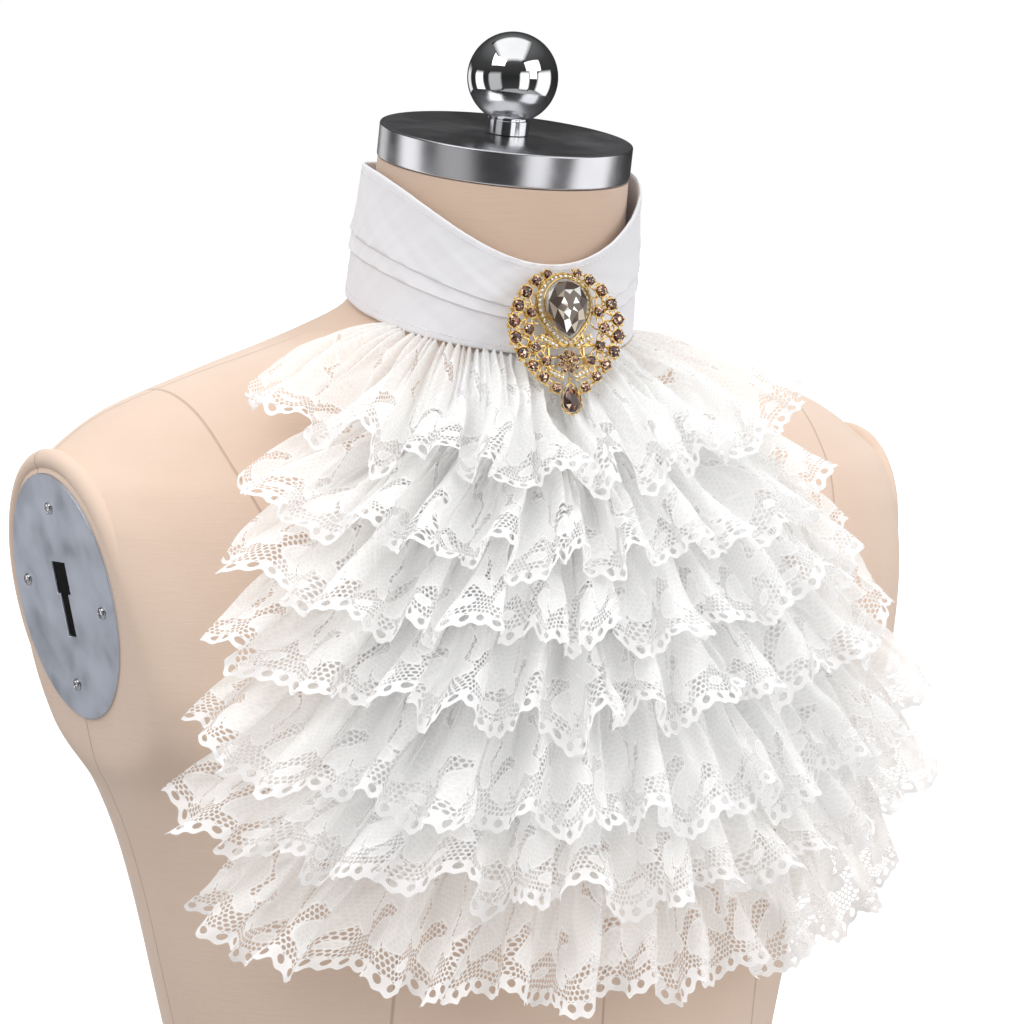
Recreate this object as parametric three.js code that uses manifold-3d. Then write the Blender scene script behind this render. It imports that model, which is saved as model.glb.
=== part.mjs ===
// Ruffle jabot on a limbless dress form. Millimetres, +Z up, the form faces -Y.
// The origin is the centre of the flat underside that the form stands on.
import * as THREE from "three";
import { mergeVertices } from "three/addons/utils/BufferGeometryUtils.js";
import Module from "manifold-3d";

// ---- Driving dimensions ---------------------------------------------------
const WALL = 1.2; // lace and bib wall
const SEAM_GAP = 0.3; // pieces stand this far apart at seams and seats

// Dress form: one row for each section, from the base to the top of the neck.
// rise is how much a section climbs for each millimetre towards the back.
const FORM_SECTIONS = [
  { z: 0, halfWidth: 158, front: 108, back: 118, centre: 0, rise: 0, power: 2.2 },
  { z: 50, halfWidth: 160, front: 110, back: 118, centre: 0, rise: 0, power: 2.2 },
  { z: 110, halfWidth: 146, front: 103, back: 106, centre: 0, rise: 0, power: 2.2 },
  { z: 190, halfWidth: 121, front: 92, back: 86, centre: 0, rise: 0, power: 2.2 },
  { z: 250, halfWidth: 131, front: 95, back: 90, centre: 0, rise: 0, power: 2.2 },
  { z: 317, halfWidth: 146, front: 101, back: 96, centre: 0, rise: 0, power: 2.2 },
  { z: 373, halfWidth: 160, front: 108, back: 99, centre: 0, rise: 0, power: 2.25 },
  { z: 405, halfWidth: 173, front: 111, back: 100, centre: 0, rise: 0, power: 2.3 },
  { z: 432, halfWidth: 196, front: 110, back: 98, centre: 0, rise: 0, power: 2.3 },
  { z: 458, halfWidth: 210, front: 105, back: 95, centre: 1, rise: 0, power: 2.3 },
  { z: 485, halfWidth: 216, front: 100, back: 92, centre: 2, rise: 0, power: 2.3 },
  { z: 512, halfWidth: 217, front: 93, back: 87, centre: 2, rise: 0.02, power: 2.2 },
  { z: 530, halfWidth: 212, front: 86, back: 80, centre: 2, rise: 0.04, power: 2.1 },
  { z: 543, halfWidth: 198, front: 79, back: 74, centre: 1, rise: 0.07, power: 2.0 },
  { z: 556, halfWidth: 179, front: 72, back: 69, centre: 0, rise: 0.12, power: 1.95 },
  { z: 570, halfWidth: 140, front: 66, back: 65, centre: -4, rise: 0.18, power: 1.9 },
  { z: 583, halfWidth: 93, front: 60, back: 62, centre: -8, rise: 0.23, power: 1.9 },
  { z: 592, halfWidth: 65, front: 56.3, back: 59, centre: -11, rise: 0.26, power: 2.0 },
  { z: 601, halfWidth: 57.5, front: 56.5, back: 57, centre: -12.5, rise: 0.27, power: 2.0 },
  { z: 622, halfWidth: 54.5, front: 54.5, back: 54.5, centre: -16, rise: 0.24, power: 2.0 },
  { z: 660, halfWidth: 53, front: 53, back: 53, centre: -23.4, rise: 0.2, power: 2.0 },
];
const FORM_SIDES = 36;
const FORM_STEP = 27; // largest height between two rings of the chest, twice that below it
const CHEST_FROM = 300;

// Neck cap, knob and arm plates.
const NECK_LEAN = Math.atan(0.2);
const NECK_TOP = 660;
const CAP = { radius: 53.8, height: 14.5, bevel: 1, sides: 48 };
const STUB = { radius: 9.2, height: 7, flare: 0.4, flareHeight: 1 };
const BALL = { radius: 19.2, flat: 16.5, rings: 9, sides: 20 };
const PLATE = {
  x: 193, y: 4, z: 485, halfDepth: 43, halfHeight: 52, thickness: 2.4, pocket: 1.8,
  tilt: 12 * Math.PI / 180, lean: 6 * Math.PI / 180, points: 32,
};
// The block that takes the form's shoulder off flat where an arm plate lies.
const ARM_CUT = { side: 400, depth: 100 };
const KEYHOLE = { wide: 12.5, wideHeight: 14, narrow: 7.5, narrowHeight: 18, top: 15 };
const SCREW = { radius: 2.6, head: 1.1, rim: 0.4, flat: 0.6, sides: 12 };
// One row for each screw: place in the plate as parts of its two half sizes.
const SCREWS = [
  { across: -0.05, up: 0.72 }, { across: 0.72, up: 0.1 },
  { across: -0.74, up: -0.08 }, { across: 0.1, up: -0.72 },
];

// Collar: a stand collar that leans forward with the neck.
const COLLAR = {
  bottomRadius: 59.9, topRadius: 57, bottomCentre: -12, topCentre: -24, wall: 1.5,
  bottomZ: 599, bottomTilt: 17, topZ: 662, dip: 43, dipAngle: -9.5 * Math.PI / 180,
  dipPower: 3.4, overlap: 0.24, overlapStep: 1.1, overlapPower: 8,
};
// One row for each height across the collar, out is how far a tuck stands proud.
const COLLAR_ROWS = [
  { height: 0, out: 0 }, { height: 0.18, out: 0 }, { height: 0.345, out: 0.05 },
  { height: 0.37, out: 1.0 }, { height: 0.475, out: 0.35 }, { height: 0.5, out: 1.25 },
  { height: 0.7, out: 0.4 }, { height: 0.88, out: 0 }, { height: 1, out: 0 },
];
const COLLAR_COLUMNS = 42;
const BUTTON = {
  radius: 5.5, thickness: 2, lift: 0.9, heights: [0.2, 0.76], sides: 18,
  foot: 0.4, rimFrom: 0.5, round: 0.3, rimWidth: 0.8, dish: 0.5,
};

// Chest line: the surface that the ruffles are sewn to, bow is its curve to the back.
const CHEST_LINE = [
  { z: 300, y: -109, bow: 0.0019 },
  { z: 350, y: -114, bow: 0.0019 },
  { z: 400, y: -118, bow: 0.0018 },
  { z: 432, y: -117, bow: 0.0014 },
  { z: 485, y: -107, bow: 0.0009 },
  { z: 530, y: -92, bow: 0.0009 },
  { z: 562, y: -78, bow: 0.0016 },
  { z: 600, y: -70, bow: 0.003 },
];
const BIB = {
  turn: -4 * Math.PI / 180, topAngle: 30 * Math.PI / 180, inset: 2.4, shift: -5,
  below: 562, bottomZ: 384, rows: 9, columns: 14,
};
// Half width of the bib at each height.
const BIB_WIDTHS = [
  { z: 384, half: 128 }, { z: 440, half: 118 }, { z: 508, half: 96 },
  { z: 540, half: 80 }, { z: 562, half: 62 },
];

// Ruffles, from the collar down: one row for each tier. seam and hem give the height at
// the middle, the rise towards the ends and the half width; stand is how far the hem
// stands off the chest line and endStand the share it loses at the ends, shift its move
// to the wearer's left; puff is how far the middle swells, flutes the number of waves and
// swing their half depth. The first tier is sewn to the collar's lower edge.
const TIERS = [
  { name: "ruffle_1", seamZ: 0, seamRise: 0, seamHalf: 0, hemZ: 535, hemRise: 33, hemHalf: 136,
    shift: -23, stand: 39, endStand: 0.1, puff: 4, flutes: 10, swing: 8.6, seed: 1 },
  { name: "ruffle_2", seamZ: 552, seamRise: 14, seamHalf: 60, hemZ: 502, hemRise: 30, hemHalf: 149,
    shift: -28, stand: 42, endStand: 0.32, puff: 1, flutes: 10, swing: 8.4, seed: 2 },
  { name: "ruffle_3", seamZ: 535, seamRise: 14, seamHalf: 76, hemZ: 471, hemRise: 31, hemHalf: 160,
    shift: -27, stand: 40, endStand: 0.34, puff: 0, flutes: 11, swing: 8.2, seed: 3 },
  { name: "ruffle_4", seamZ: 505, seamRise: 15, seamHalf: 91, hemZ: 439, hemRise: 32, hemHalf: 172,
    shift: -23, stand: 38, endStand: 0.34, puff: 0, flutes: 12, swing: 8.4, seed: 4 },
  { name: "ruffle_5", seamZ: 472, seamRise: 15, seamHalf: 105, hemZ: 398, hemRise: 33, hemHalf: 188,
    shift: -12, stand: 40, endStand: 0.34, puff: 0, flutes: 13, swing: 8.5, seed: 5 },
  { name: "ruffle_6", seamZ: 437, seamRise: 15, seamHalf: 115, hemZ: 367, hemRise: 36, hemHalf: 195,
    shift: -6, stand: 38, endStand: 0.34, puff: 0, flutes: 13, swing: 8.5, seed: 6 },
  { name: "ruffle_7", seamZ: 402, seamRise: 14, seamHalf: 120, hemZ: 326, hemRise: 30, hemHalf: 182,
    shift: -9, stand: 31, endStand: 0.34, puff: 0, flutes: 13, swing: 8.5, seed: 7 },
];
const RUFFLE = {
  turn: -8 * Math.PI / 180, seamShift: 0.3,
  columnsPerFlute: 7, rows: 3, collarSpan: 70 * Math.PI / 180, collarRadius: 61.2,
  seamDrop: 0.96, seamSwing: 0.06, seamProud: 1.15, growth: 1.1, overhang: 0.92,
  endSwing: 0.3, hemCurve: 2.2, scallop: 0.05, scallopsPerFlute: 1.25,
  endSpread: 0.45, endSpreadCurve: 4, corner: 0.22, cornerCurve: 2.2, cornerFrom: 0.84,
};
// How unevenly the ruffles hang: how far each measure strays, and how often along a tier.
const STRAY = {
  phase: { far: 0.9, often: 2.6 }, drift: { far: 0.5, often: 3.1 }, bend: { far: 0.75, often: 8 },
  depth: { far: 0.26, often: 9 }, overhang: { far: 0.46, often: 7 }, lump: { far: 3, often: 5 },
  lean: { far: 0.16, often: 6 }, fall: { far: 0.035, often: 7 }, hem: { far: 2.2, often: 3 },
};
// A small step, as a share of a tier, over which slopes are taken.
const NEAR = 0.004;
// The hollow of the first ruffle under the brooch.
const VALLEY = { width: 0.16, depth: 1.05, calm: 0.85 };

// Brooch on the collar's front. Local x runs to the wearer's left, z up, -Y out.
const BROOCH = {
  angle: -7 * Math.PI / 180, reach: 72.1, z: 591, lean: 9.8 * Math.PI / 180,
  halfWidth: 26.5, up: 27, down: 27.5, plate: 1.8,
  points: 48, lobes: 16, lobeDepth: 0.03, waist: 0.3,
};
// A pear stone rises from its base to the girdle, its widest line, and on to the table.
const PEAR = { z: 11.5, halfWidth: 10, up: 10.5, down: 14, girdle: 3.2, crown: 6.4, points: 16 };
const PEAR_CUT = { base: 0.6, crown: 0.86, table: 0.55 };
const COLLET = { width: 2, widthBelow: 2.3, height: 2.6, points: 24 };
// The round stones, as parts of their radius.
const ROUND_CUT = { base: 0.8, girdle: 0.7, table: 0.6, height: 1.25, sides: 7 };
// Stones along half of the brooch, mirrored to the other half: the place and the radius.
const STONES = [
  { x: 6.8, z: 24.4, radius: 1.9 }, { x: 12.2, z: 21.6, radius: 2.3 },
  { x: 17.2, z: 17.2, radius: 2.6 }, { x: 21.2, z: 11.6, radius: 2.6 },
  { x: 23.6, z: 5.2, radius: 2.7 }, { x: 23.4, z: -1.6, radius: 2.7 },
  { x: 20.8, z: -8.0, radius: 2.6 }, { x: 16.6, z: -13.4, radius: 2.5 },
  { x: 12.0, z: -18.2, radius: 2.3 }, { x: 6.6, z: -22.6, radius: 2.2 },
  { x: 15.4, z: 8.6, radius: 2.3 }, { x: 17.2, z: 1.8, radius: 2.4 },
  { x: 14.6, z: -5.6, radius: 2.3 }, { x: 10.2, z: -11.6, radius: 2.1 },
];
const FLOWER = {
  z: -11.4, petals: 5, radius: 4.2, height: 3.6, notch: 0.18,
  foot: 0.9, bulge: 0.4, shoulder: 0.55, shoulderHeight: 0.9,
};
const DROP = { z: -28.5, halfWidth: 4.2, up: 7, down: 4.6, height: 3.4 };
const PIN = { length: 22, z: 8, bar: 1.6, post: 2.4, reach: 4.8 };

// ---- Small tools ------------------------------------------------------------
const wasm = await Module();
wasm.setup();

function solidOf(geometry) {
  const bare = geometry.clone();
  bare.deleteAttribute("normal");
  bare.deleteAttribute("uv");
  const merged = mergeVertices(bare, 1e-4);
  return new wasm.Manifold(new wasm.Mesh({
    numProp: 3,
    vertProperties: new Float32Array(merged.attributes.position.array),
    triVerts: new Uint32Array(merged.index.array),
  }));
}

function geometryOf(solid) {
  const mesh = solid.getMesh();
  const geometry = new THREE.BufferGeometry();
  geometry.setAttribute("position", new THREE.BufferAttribute(new Float32Array(mesh.vertProperties), 3));
  geometry.setIndex(new THREE.BufferAttribute(new Uint32Array(mesh.triVerts), 1));
  return geometry;
}

function geometryFrom(points, triangles) {
  const geometry = new THREE.BufferGeometry();
  const numbers = points.flatMap((p) => [p.x, p.y, p.z]);
  geometry.setAttribute("position", new THREE.Float32BufferAttribute(numbers, 3));
  geometry.setIndex(triangles);
  return geometry;
}

// Smooth value of a table's column at height z, with no overshoot between rows.
function along(table, column, z) {
  const last = table.length - 1;
  const at = Math.min(Math.max(z, table[0].z), table[last].z);
  let i = 0;
  while (i < last - 1 && at > table[i + 1].z) i += 1;
  const slope = (j) => (table[j + 1][column] - table[j][column]) / (table[j + 1].z - table[j].z);
  const tangent = (j) => {
    if (j === 0) return slope(0);
    if (j === last) return slope(last - 1);
    const before = slope(j - 1);
    const after = slope(j);
    return before * after > 0 ? 2 * before * after / (before + after) : 0;
  };
  const h = table[i + 1].z - table[i].z;
  const t = (at - table[i].z) / h;
  return (2 * t ** 3 - 3 * t ** 2 + 1) * table[i][column] + (t ** 3 - 2 * t ** 2 + t) * h * tangent(i)
    + (3 * t ** 2 - 2 * t ** 3) * table[i + 1][column] + (t ** 3 - t ** 2) * h * tangent(i + 1);
}

// A closed wall on both sides of a surface: front and back give its two faces.
function wallOf(front, back, columns, rows) {
  const points = [];
  for (const face of [front, back]) {
    for (let j = 0; j <= rows; j += 1) {
      for (let i = 0; i <= columns; i += 1) points.push(face(i / columns, j / rows));
    }
  }
  const layer = (columns + 1) * (rows + 1);
  const f = (i, j) => j * (columns + 1) + i;
  const b = (i, j) => layer + f(i, j);
  const triangles = [];
  const quad = (p, q, r, s) => triangles.push(p, q, r, p, r, s);
  for (let j = 0; j < rows; j += 1) {
    for (let i = 0; i < columns; i += 1) {
      quad(f(i, j), f(i, j + 1), f(i + 1, j + 1), f(i + 1, j));
      quad(b(i, j), b(i + 1, j), b(i + 1, j + 1), b(i, j + 1));
    }
    quad(f(0, j), b(0, j), b(0, j + 1), f(0, j + 1));
    quad(f(columns, j), f(columns, j + 1), b(columns, j + 1), b(columns, j));
  }
  for (let i = 0; i < columns; i += 1) {
    quad(f(i, 0), f(i + 1, 0), b(i + 1, 0), b(i, 0));
    quad(f(i, rows), b(i, rows), b(i + 1, rows), f(i + 1, rows));
  }
  return geometryFrom(points, triangles);
}

// A closed skin over rings of equal point counts, with a centre point at each end.
function skinOf(rings, bottom, top) {
  const sides = rings[0].length;
  const points = rings.flat();
  const triangles = [];
  for (let j = 0; j < rings.length - 1; j += 1) {
    for (let i = 0; i < sides; i += 1) {
      const a = j * sides + i;
      const b = j * sides + (i + 1) % sides;
      triangles.push(a, b, b + sides, a, b + sides, a + sides);
    }
  }
  const low = points.push(bottom) - 1;
  const high = points.push(top) - 1;
  const last = (rings.length - 1) * sides;
  for (let i = 0; i < sides; i += 1) {
    triangles.push(low, (i + 1) % sides, i);
    triangles.push(high, last + i, last + (i + 1) % sides);
  }
  return geometryFrom(points, triangles);
}

const FABRIC_WHITE = { color: 0xf4f4f8, roughness: 0.85, metalness: 0 };
const COLLAR_WHITE = { color: 0xececf2, roughness: 0.7, metalness: 0 };
const FORM_COTTON = { color: 0xe2c8b2, roughness: 0.9, metalness: 0 };
const STEEL = { color: 0xb9bcc2, roughness: 0.3, metalness: 1 };
const CHROME = { color: 0xdcdfe3, roughness: 0.08, metalness: 1 };
const ZINC = { color: 0xa5acba, roughness: 0.45, metalness: 0.9 };
const GOLD = { color: 0xd9a441, roughness: 0.25, metalness: 1 };
const BROWN_GLASS = { color: 0x4a3026, roughness: 0.08, metalness: 0.1 };
const SMOKY_GLASS = { color: 0x9a918e, roughness: 0.05, metalness: 0.1 };

const jabot = new THREE.Group();

function add(name, geometry, finish, parent = jabot) {
  const mesh = new THREE.Mesh(geometry, new THREE.MeshStandardMaterial(finish));
  mesh.name = name;
  parent.add(mesh);
  return mesh;
}

// ---- Dress form ---------------------------------------------------------------
function formRing(z) {
  const get = (column) => along(FORM_SECTIONS, column, z);
  const ring = [];
  for (let i = 0; i < FORM_SIDES; i += 1) {
    const angle = 2 * Math.PI * i / FORM_SIDES;
    const round = (value) => Math.sign(value) * Math.abs(value) ** (2 / get("power"));
    const y = -round(Math.cos(angle));
    const depth = y < 0 ? get("front") : get("back");
    const x = get("halfWidth") * round(Math.sin(angle));
    ring.push(new THREE.Vector3(x, get("centre") + depth * y, z + get("rise") * depth * y));
  }
  return ring;
}

function formHeights() {
  const heights = [FORM_SECTIONS[0].z];
  for (let i = 1; i < FORM_SECTIONS.length; i += 1) {
    const from = FORM_SECTIONS[i - 1].z;
    const gap = FORM_SECTIONS[i].z - from;
    const steps = Math.ceil(gap / (from < CHEST_FROM ? 2 * FORM_STEP : FORM_STEP));
    for (let j = 1; j <= steps; j += 1) heights.push(from + gap * j / steps);
  }
  return heights;
}

function ellipse(halfWidth, halfHeight, lean, points) {
  const outline = [];
  for (let i = 0; i < points; i += 1) {
    const a = 2 * Math.PI * i / points;
    const across = halfWidth * Math.cos(a);
    const up = halfHeight * Math.sin(a);
    outline.push(new THREE.Vector2(
      across * Math.cos(lean) - up * Math.sin(lean),
      across * Math.sin(lean) + up * Math.cos(lean),
    ));
  }
  return outline;
}

function plateOutline(side, margin) {
  const halfDepth = PLATE.halfDepth + margin;
  return ellipse(halfDepth, PLATE.halfHeight + margin, side * PLATE.lean, PLATE.points);
}

// Turns a group so that its +Z is the outward normal of an arm plate, its +Y the plate's up.
function plateFrame(side, distance) {
  const out = new THREE.Vector3(side * Math.cos(PLATE.tilt), 0, -Math.sin(PLATE.tilt));
  const up = new THREE.Vector3(side * Math.sin(PLATE.tilt), 0, Math.cos(PLATE.tilt));
  const across = new THREE.Vector3().crossVectors(up, out);
  const group = new THREE.Group();
  group.quaternion.setFromRotationMatrix(new THREE.Matrix4().makeBasis(across, up, out));
  group.position.set(side * PLATE.x, PLATE.y, PLATE.z).addScaledVector(out, distance);
  group.updateMatrixWorld(true);
  return group;
}

function formGeometry() {
  const rings = formHeights().map(formRing);
  const bottom = new THREE.Vector3(0, 0, 0);
  const top = new THREE.Vector3(0, along(FORM_SECTIONS, "centre", NECK_TOP), NECK_TOP);
  let solid = solidOf(skinOf(rings, bottom, top));
  for (const side of [-1, 1]) {
    const cut = new THREE.BoxGeometry(ARM_CUT.side, ARM_CUT.side, ARM_CUT.depth);
    cut.translate(0, 0, ARM_CUT.depth / 2);
    cut.applyMatrix4(plateFrame(side, 0).matrixWorld);
    solid = solid.subtract(solidOf(cut));
    const outline = new THREE.Shape(plateOutline(side, SEAM_GAP));
    const pocket = new THREE.ExtrudeGeometry(outline, { depth: ARM_CUT.depth, bevelEnabled: false });
    pocket.applyMatrix4(plateFrame(side, -PLATE.pocket).matrixWorld);
    solid = solid.subtract(solidOf(pocket));
  }
  return geometryOf(solid);
}

function addArmPlate(side) {
  const word = side < 0 ? "right" : "left";
  const frame = plateFrame(side, SEAM_GAP - PLATE.pocket);
  const shape = new THREE.Shape(plateOutline(side, 0));
  const w = KEYHOLE.wide / 2;
  const n = KEYHOLE.narrow / 2;
  const middle = KEYHOLE.top - KEYHOLE.wideHeight;
  const foot = middle - KEYHOLE.narrowHeight;
  const keyhole = [
    [-w, KEYHOLE.top], [w, KEYHOLE.top], [w, middle], [n, middle],
    [n, foot], [-n, foot], [-n, middle], [-w, middle],
  ];
  shape.holes.push(new THREE.Path(keyhole.map(([x, y]) => new THREE.Vector2(x, y))));
  const plate = new THREE.ExtrudeGeometry(shape, { depth: PLATE.thickness, bevelEnabled: false });
  add(`arm_plate_${word}`, plate, ZINC, frame);
  SCREWS.forEach((place, i) => {
    const r = SCREW.radius;
    const rim = SCREW.head * SCREW.rim;
    const profile = [[0, 0], [r, 0], [r, rim], [r * SCREW.flat, SCREW.head], [0, SCREW.head]];
    const head = lathe(profile, SCREW.sides);
    head.translate(
      side * place.across * PLATE.halfDepth,
      place.up * PLATE.halfHeight,
      PLATE.thickness + SEAM_GAP,
    );
    add(`screw_${word}_${i + 1}`, head, STEEL, frame);
  });
  jabot.add(frame);
}

function lathe(pairs, segments) {
  const geometry = new THREE.LatheGeometry(pairs.map(([r, h]) => new THREE.Vector2(r, h)), segments);
  geometry.rotateX(Math.PI / 2);
  return geometry;
}

// The cap and the knob share a group that leans forward with the neck.
function addCapAndKnob() {
  const group = new THREE.Group();
  group.position.set(0, along(FORM_SECTIONS, "centre", NECK_TOP), NECK_TOP);
  group.rotation.x = NECK_LEAN;
  const c = CAP;
  const disc = [
    [0, SEAM_GAP], [c.radius - c.bevel, SEAM_GAP], [c.radius, SEAM_GAP + c.bevel],
    [c.radius, c.height - c.bevel], [c.radius - c.bevel, c.height], [0, c.height],
  ];
  add("neck_cap", lathe(disc, c.sides), STEEL, group);
  const base = c.height + SEAM_GAP;
  const centre = base + STUB.height + BALL.flat;
  const start = Math.acos(BALL.flat / BALL.radius);
  const profile = [
    [0, base], [STUB.radius, base], [STUB.radius, base + STUB.height - STUB.flareHeight],
    [STUB.radius + STUB.flare, base + STUB.height],
  ];
  for (let i = 0; i <= BALL.rings; i += 1) {
    const a = start + (Math.PI - start) * i / BALL.rings;
    profile.push([i === BALL.rings ? 0 : BALL.radius * Math.sin(a), centre - BALL.radius * Math.cos(a)]);
  }
  add("knob", lathe(profile, BALL.sides), CHROME, group);
  jabot.add(group);
}

// ---- Collar ---------------------------------------------------------------------
const collarBottom = (angle) => COLLAR.bottomZ - COLLAR.bottomTilt * Math.cos(angle);
const collarTop = (angle) => {
  const dip = ((1 + Math.cos(angle - COLLAR.dipAngle)) / 2) ** COLLAR.dipPower;
  return COLLAR.topZ - COLLAR.dip * dip;
};

// A point of the collar at an angle from the front, a height from 0 to 1 and a depth out
// from its inner face. Past the back the one end steps out and the other in.
function collarPoint(angle, height, out) {
  const turn = angle / (Math.PI + COLLAR.overlap);
  const step = COLLAR.overlapStep * Math.sign(turn) * Math.abs(turn) ** COLLAR.overlapPower;
  const lift = collarBottom(angle) + height * (collarTop(angle) - collarBottom(angle));
  const level = lift + COLLAR.bottomTilt * Math.cos(angle);
  const lean = (level - COLLAR.bottomZ) / (COLLAR.topZ - COLLAR.bottomZ);
  const radius = COLLAR.bottomRadius + (COLLAR.topRadius - COLLAR.bottomRadius) * lean + step + out;
  const centre = COLLAR.bottomCentre + (COLLAR.topCentre - COLLAR.bottomCentre) * lean;
  return new THREE.Vector3(radius * Math.sin(angle), centre - radius * Math.cos(angle), lift);
}

function collarGeometry() {
  const reach = Math.PI + COLLAR.overlap;
  const rows = COLLAR_ROWS.length - 1;
  const row = (v) => COLLAR_ROWS[rows - Math.round(v * rows)];
  const angle = (u) => reach * (2 * u - 1);
  return wallOf(
    (u, v) => collarPoint(angle(u), row(v).height, COLLAR.wall + row(v).out),
    (u, v) => collarPoint(angle(u), row(v).height, 0),
    COLLAR_COLUMNS,
    rows,
  );
}

// The buttons lie on the outer end of the overlap, along the collar's surface.
function addButtons() {
  BUTTON.heights.forEach((height, i) => {
    const angle = Math.PI + COLLAR.overlap / 3;
    const at = (turn, up) => collarPoint(angle + turn, height + up, COLLAR.wall + BUTTON.lift);
    const across = at(0.02, 0).sub(at(-0.02, 0)).normalize();
    const up = at(0, 0.05).sub(at(0, -0.05)).normalize();
    const out = new THREE.Vector3().crossVectors(across, up).normalize();
    const r = BUTTON.radius;
    const t = BUTTON.thickness;
    const profile = [
      [0, 0], [r - BUTTON.foot, 0], [r, BUTTON.rimFrom], [r, t - BUTTON.round],
      [r - BUTTON.rimWidth, t], [0, t - BUTTON.dish],
    ];
    const mesh = add(`collar_button_${i + 1}`, lathe(profile, BUTTON.sides), COLLAR_WHITE);
    const axes = new THREE.Matrix4().makeBasis(up.clone().cross(out), up, out);
    mesh.quaternion.setFromRotationMatrix(axes);
    mesh.position.copy(at(0, 0));
  });
}

// ---- Bib and ruffles --------------------------------------------------------------
const chestY = (x, z) => along(CHEST_LINE, "y", z) + along(CHEST_LINE, "bow", z) * x * x;

function bibPoint(u, v, depth) {
  const t = 2 * u - 1;
  const angle = BIB.topAngle * t + BIB.turn;
  const topRadius = COLLAR.bottomRadius - BIB.inset + depth;
  const top = new THREE.Vector3(
    topRadius * Math.sin(angle),
    COLLAR.bottomCentre - topRadius * Math.cos(angle),
    collarBottom(angle) - SEAM_GAP,
  );
  if (v === 0) return top;
  const share = (v * BIB.rows - 1) / (BIB.rows - 1);
  const z = BIB.below + (BIB.bottomZ - BIB.below) * share;
  const x = along(BIB_WIDTHS, "half", z) * t + BIB.shift;
  return new THREE.Vector3(x, chestY(x, z) + SEAM_GAP + WALL - depth, z);
}

function bibGeometry() {
  return wallOf(
    (u, v) => bibPoint(u, v, WALL),
    (u, v) => bibPoint(u, v, 0),
    BIB.columns,
    BIB.rows,
  );
}

// Slow uneven waves in -1..1, a different one for each seed.
const WAVES = [{ share: 0.5, rate: 2.3 }, { share: 0.3, rate: 4.9 }, { share: 0.2, rate: 8.7 }];

function waver(seed, x) {
  return WAVES.reduce((sum, wave, i) => {
    const value = Math.sin(seed * 12.9898 + (i + 1) * 78.233) * 43758.5453;
    const phase = 2 * Math.PI * (value - Math.floor(value));
    return sum + wave.share * Math.sin(wave.rate * x + phase);
  }, 0);
}

// How far one measure of a tier strays at a place; each measure has waves of its own.
function stray(tier, measure, seed, place, offset = 0) {
  return STRAY[measure].far * waver(tier.seed + seed, STRAY[measure].often * place + offset);
}

function seamPoint(tier, t) {
  if (tier.seamHalf === 0) {
    const angle = RUFFLE.collarSpan * t + RUFFLE.turn;
    const r = RUFFLE.collarRadius;
    const z = collarBottom(angle) - SEAM_GAP - RUFFLE.seamDrop;
    return new THREE.Vector3(r * Math.sin(angle), COLLAR.bottomCentre - r * Math.cos(angle), z);
  }
  const x = tier.seamHalf * t + RUFFLE.seamShift * tier.shift;
  const z = tier.seamZ + tier.seamRise * t * t;
  const proud = WALL + RUFFLE.seamProud * RUFFLE.seamSwing * tier.swing;
  return new THREE.Vector3(x, chestY(x, z) - proud, z);
}

// How much of the hollow under the brooch a place on a tier has, from 0 to 1.
function valleyShare(tier, t) {
  return tier.seamHalf === 0 ? Math.exp(-((t / VALLEY.width) ** 2)) : 0;
}

function hemPoint(tier, t) {
  const x = tier.hemHalf * t + tier.shift;
  const z = tier.hemZ + tier.hemRise * Math.abs(t) ** RUFFLE.hemCurve + stray(tier, "hem", 20, t);
  const stand = tier.stand * (1 - tier.endStand * t * t);
  return new THREE.Vector3(x, chestY(x, z) - stand, z);
}

// The middle of a tier before it is fluted. Towards its ends it spreads sooner.
function flatPoint(tier, t, v) {
  const seam = seamPoint(tier, t);
  const hem = hemPoint(tier, t);
  const valley = valleyShare(tier, t);
  const fall = Math.max(v, 0);
  const point = seam.clone().lerp(hem, v);
  const spread = RUFFLE.endSpread * t ** RUFFLE.endSpreadCurve;
  point.x = seam.x + (hem.x - seam.x) * fall ** (1 - spread);
  point.y = seam.y + (hem.y - seam.y) * fall ** (1 + VALLEY.depth * valley);
  point.y -= tier.puff * Math.sin(Math.PI * Math.min(v, 1)) * (1 - t * t) * (1 - valley);
  return point;
}

function flutePhase(tier, t, v) {
  const drift = v * stray(tier, "drift", 10, t);
  return Math.PI * tier.flutes * (t + 1) + stray(tier, "phase", 0, t) + drift;
}

// How far down its flat strip a place on a tier lies: scalloped, uneven, its corners round.
function fallOf(tier, t, v) {
  const scallops = RUFFLE.scallopsPerFlute * tier.flutes;
  const scallop = RUFFLE.scallop * Math.abs(Math.sin(Math.PI * scallops * (t + 1) / 2));
  const corner = Math.max((Math.abs(t) - RUFFLE.cornerFrom) / (1 - RUFFLE.cornerFrom), 0);
  const round = RUFFLE.corner * corner ** RUFFLE.cornerCurve;
  return v * (1 + scallop - round + stray(tier, "fall", 90, t));
}

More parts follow.
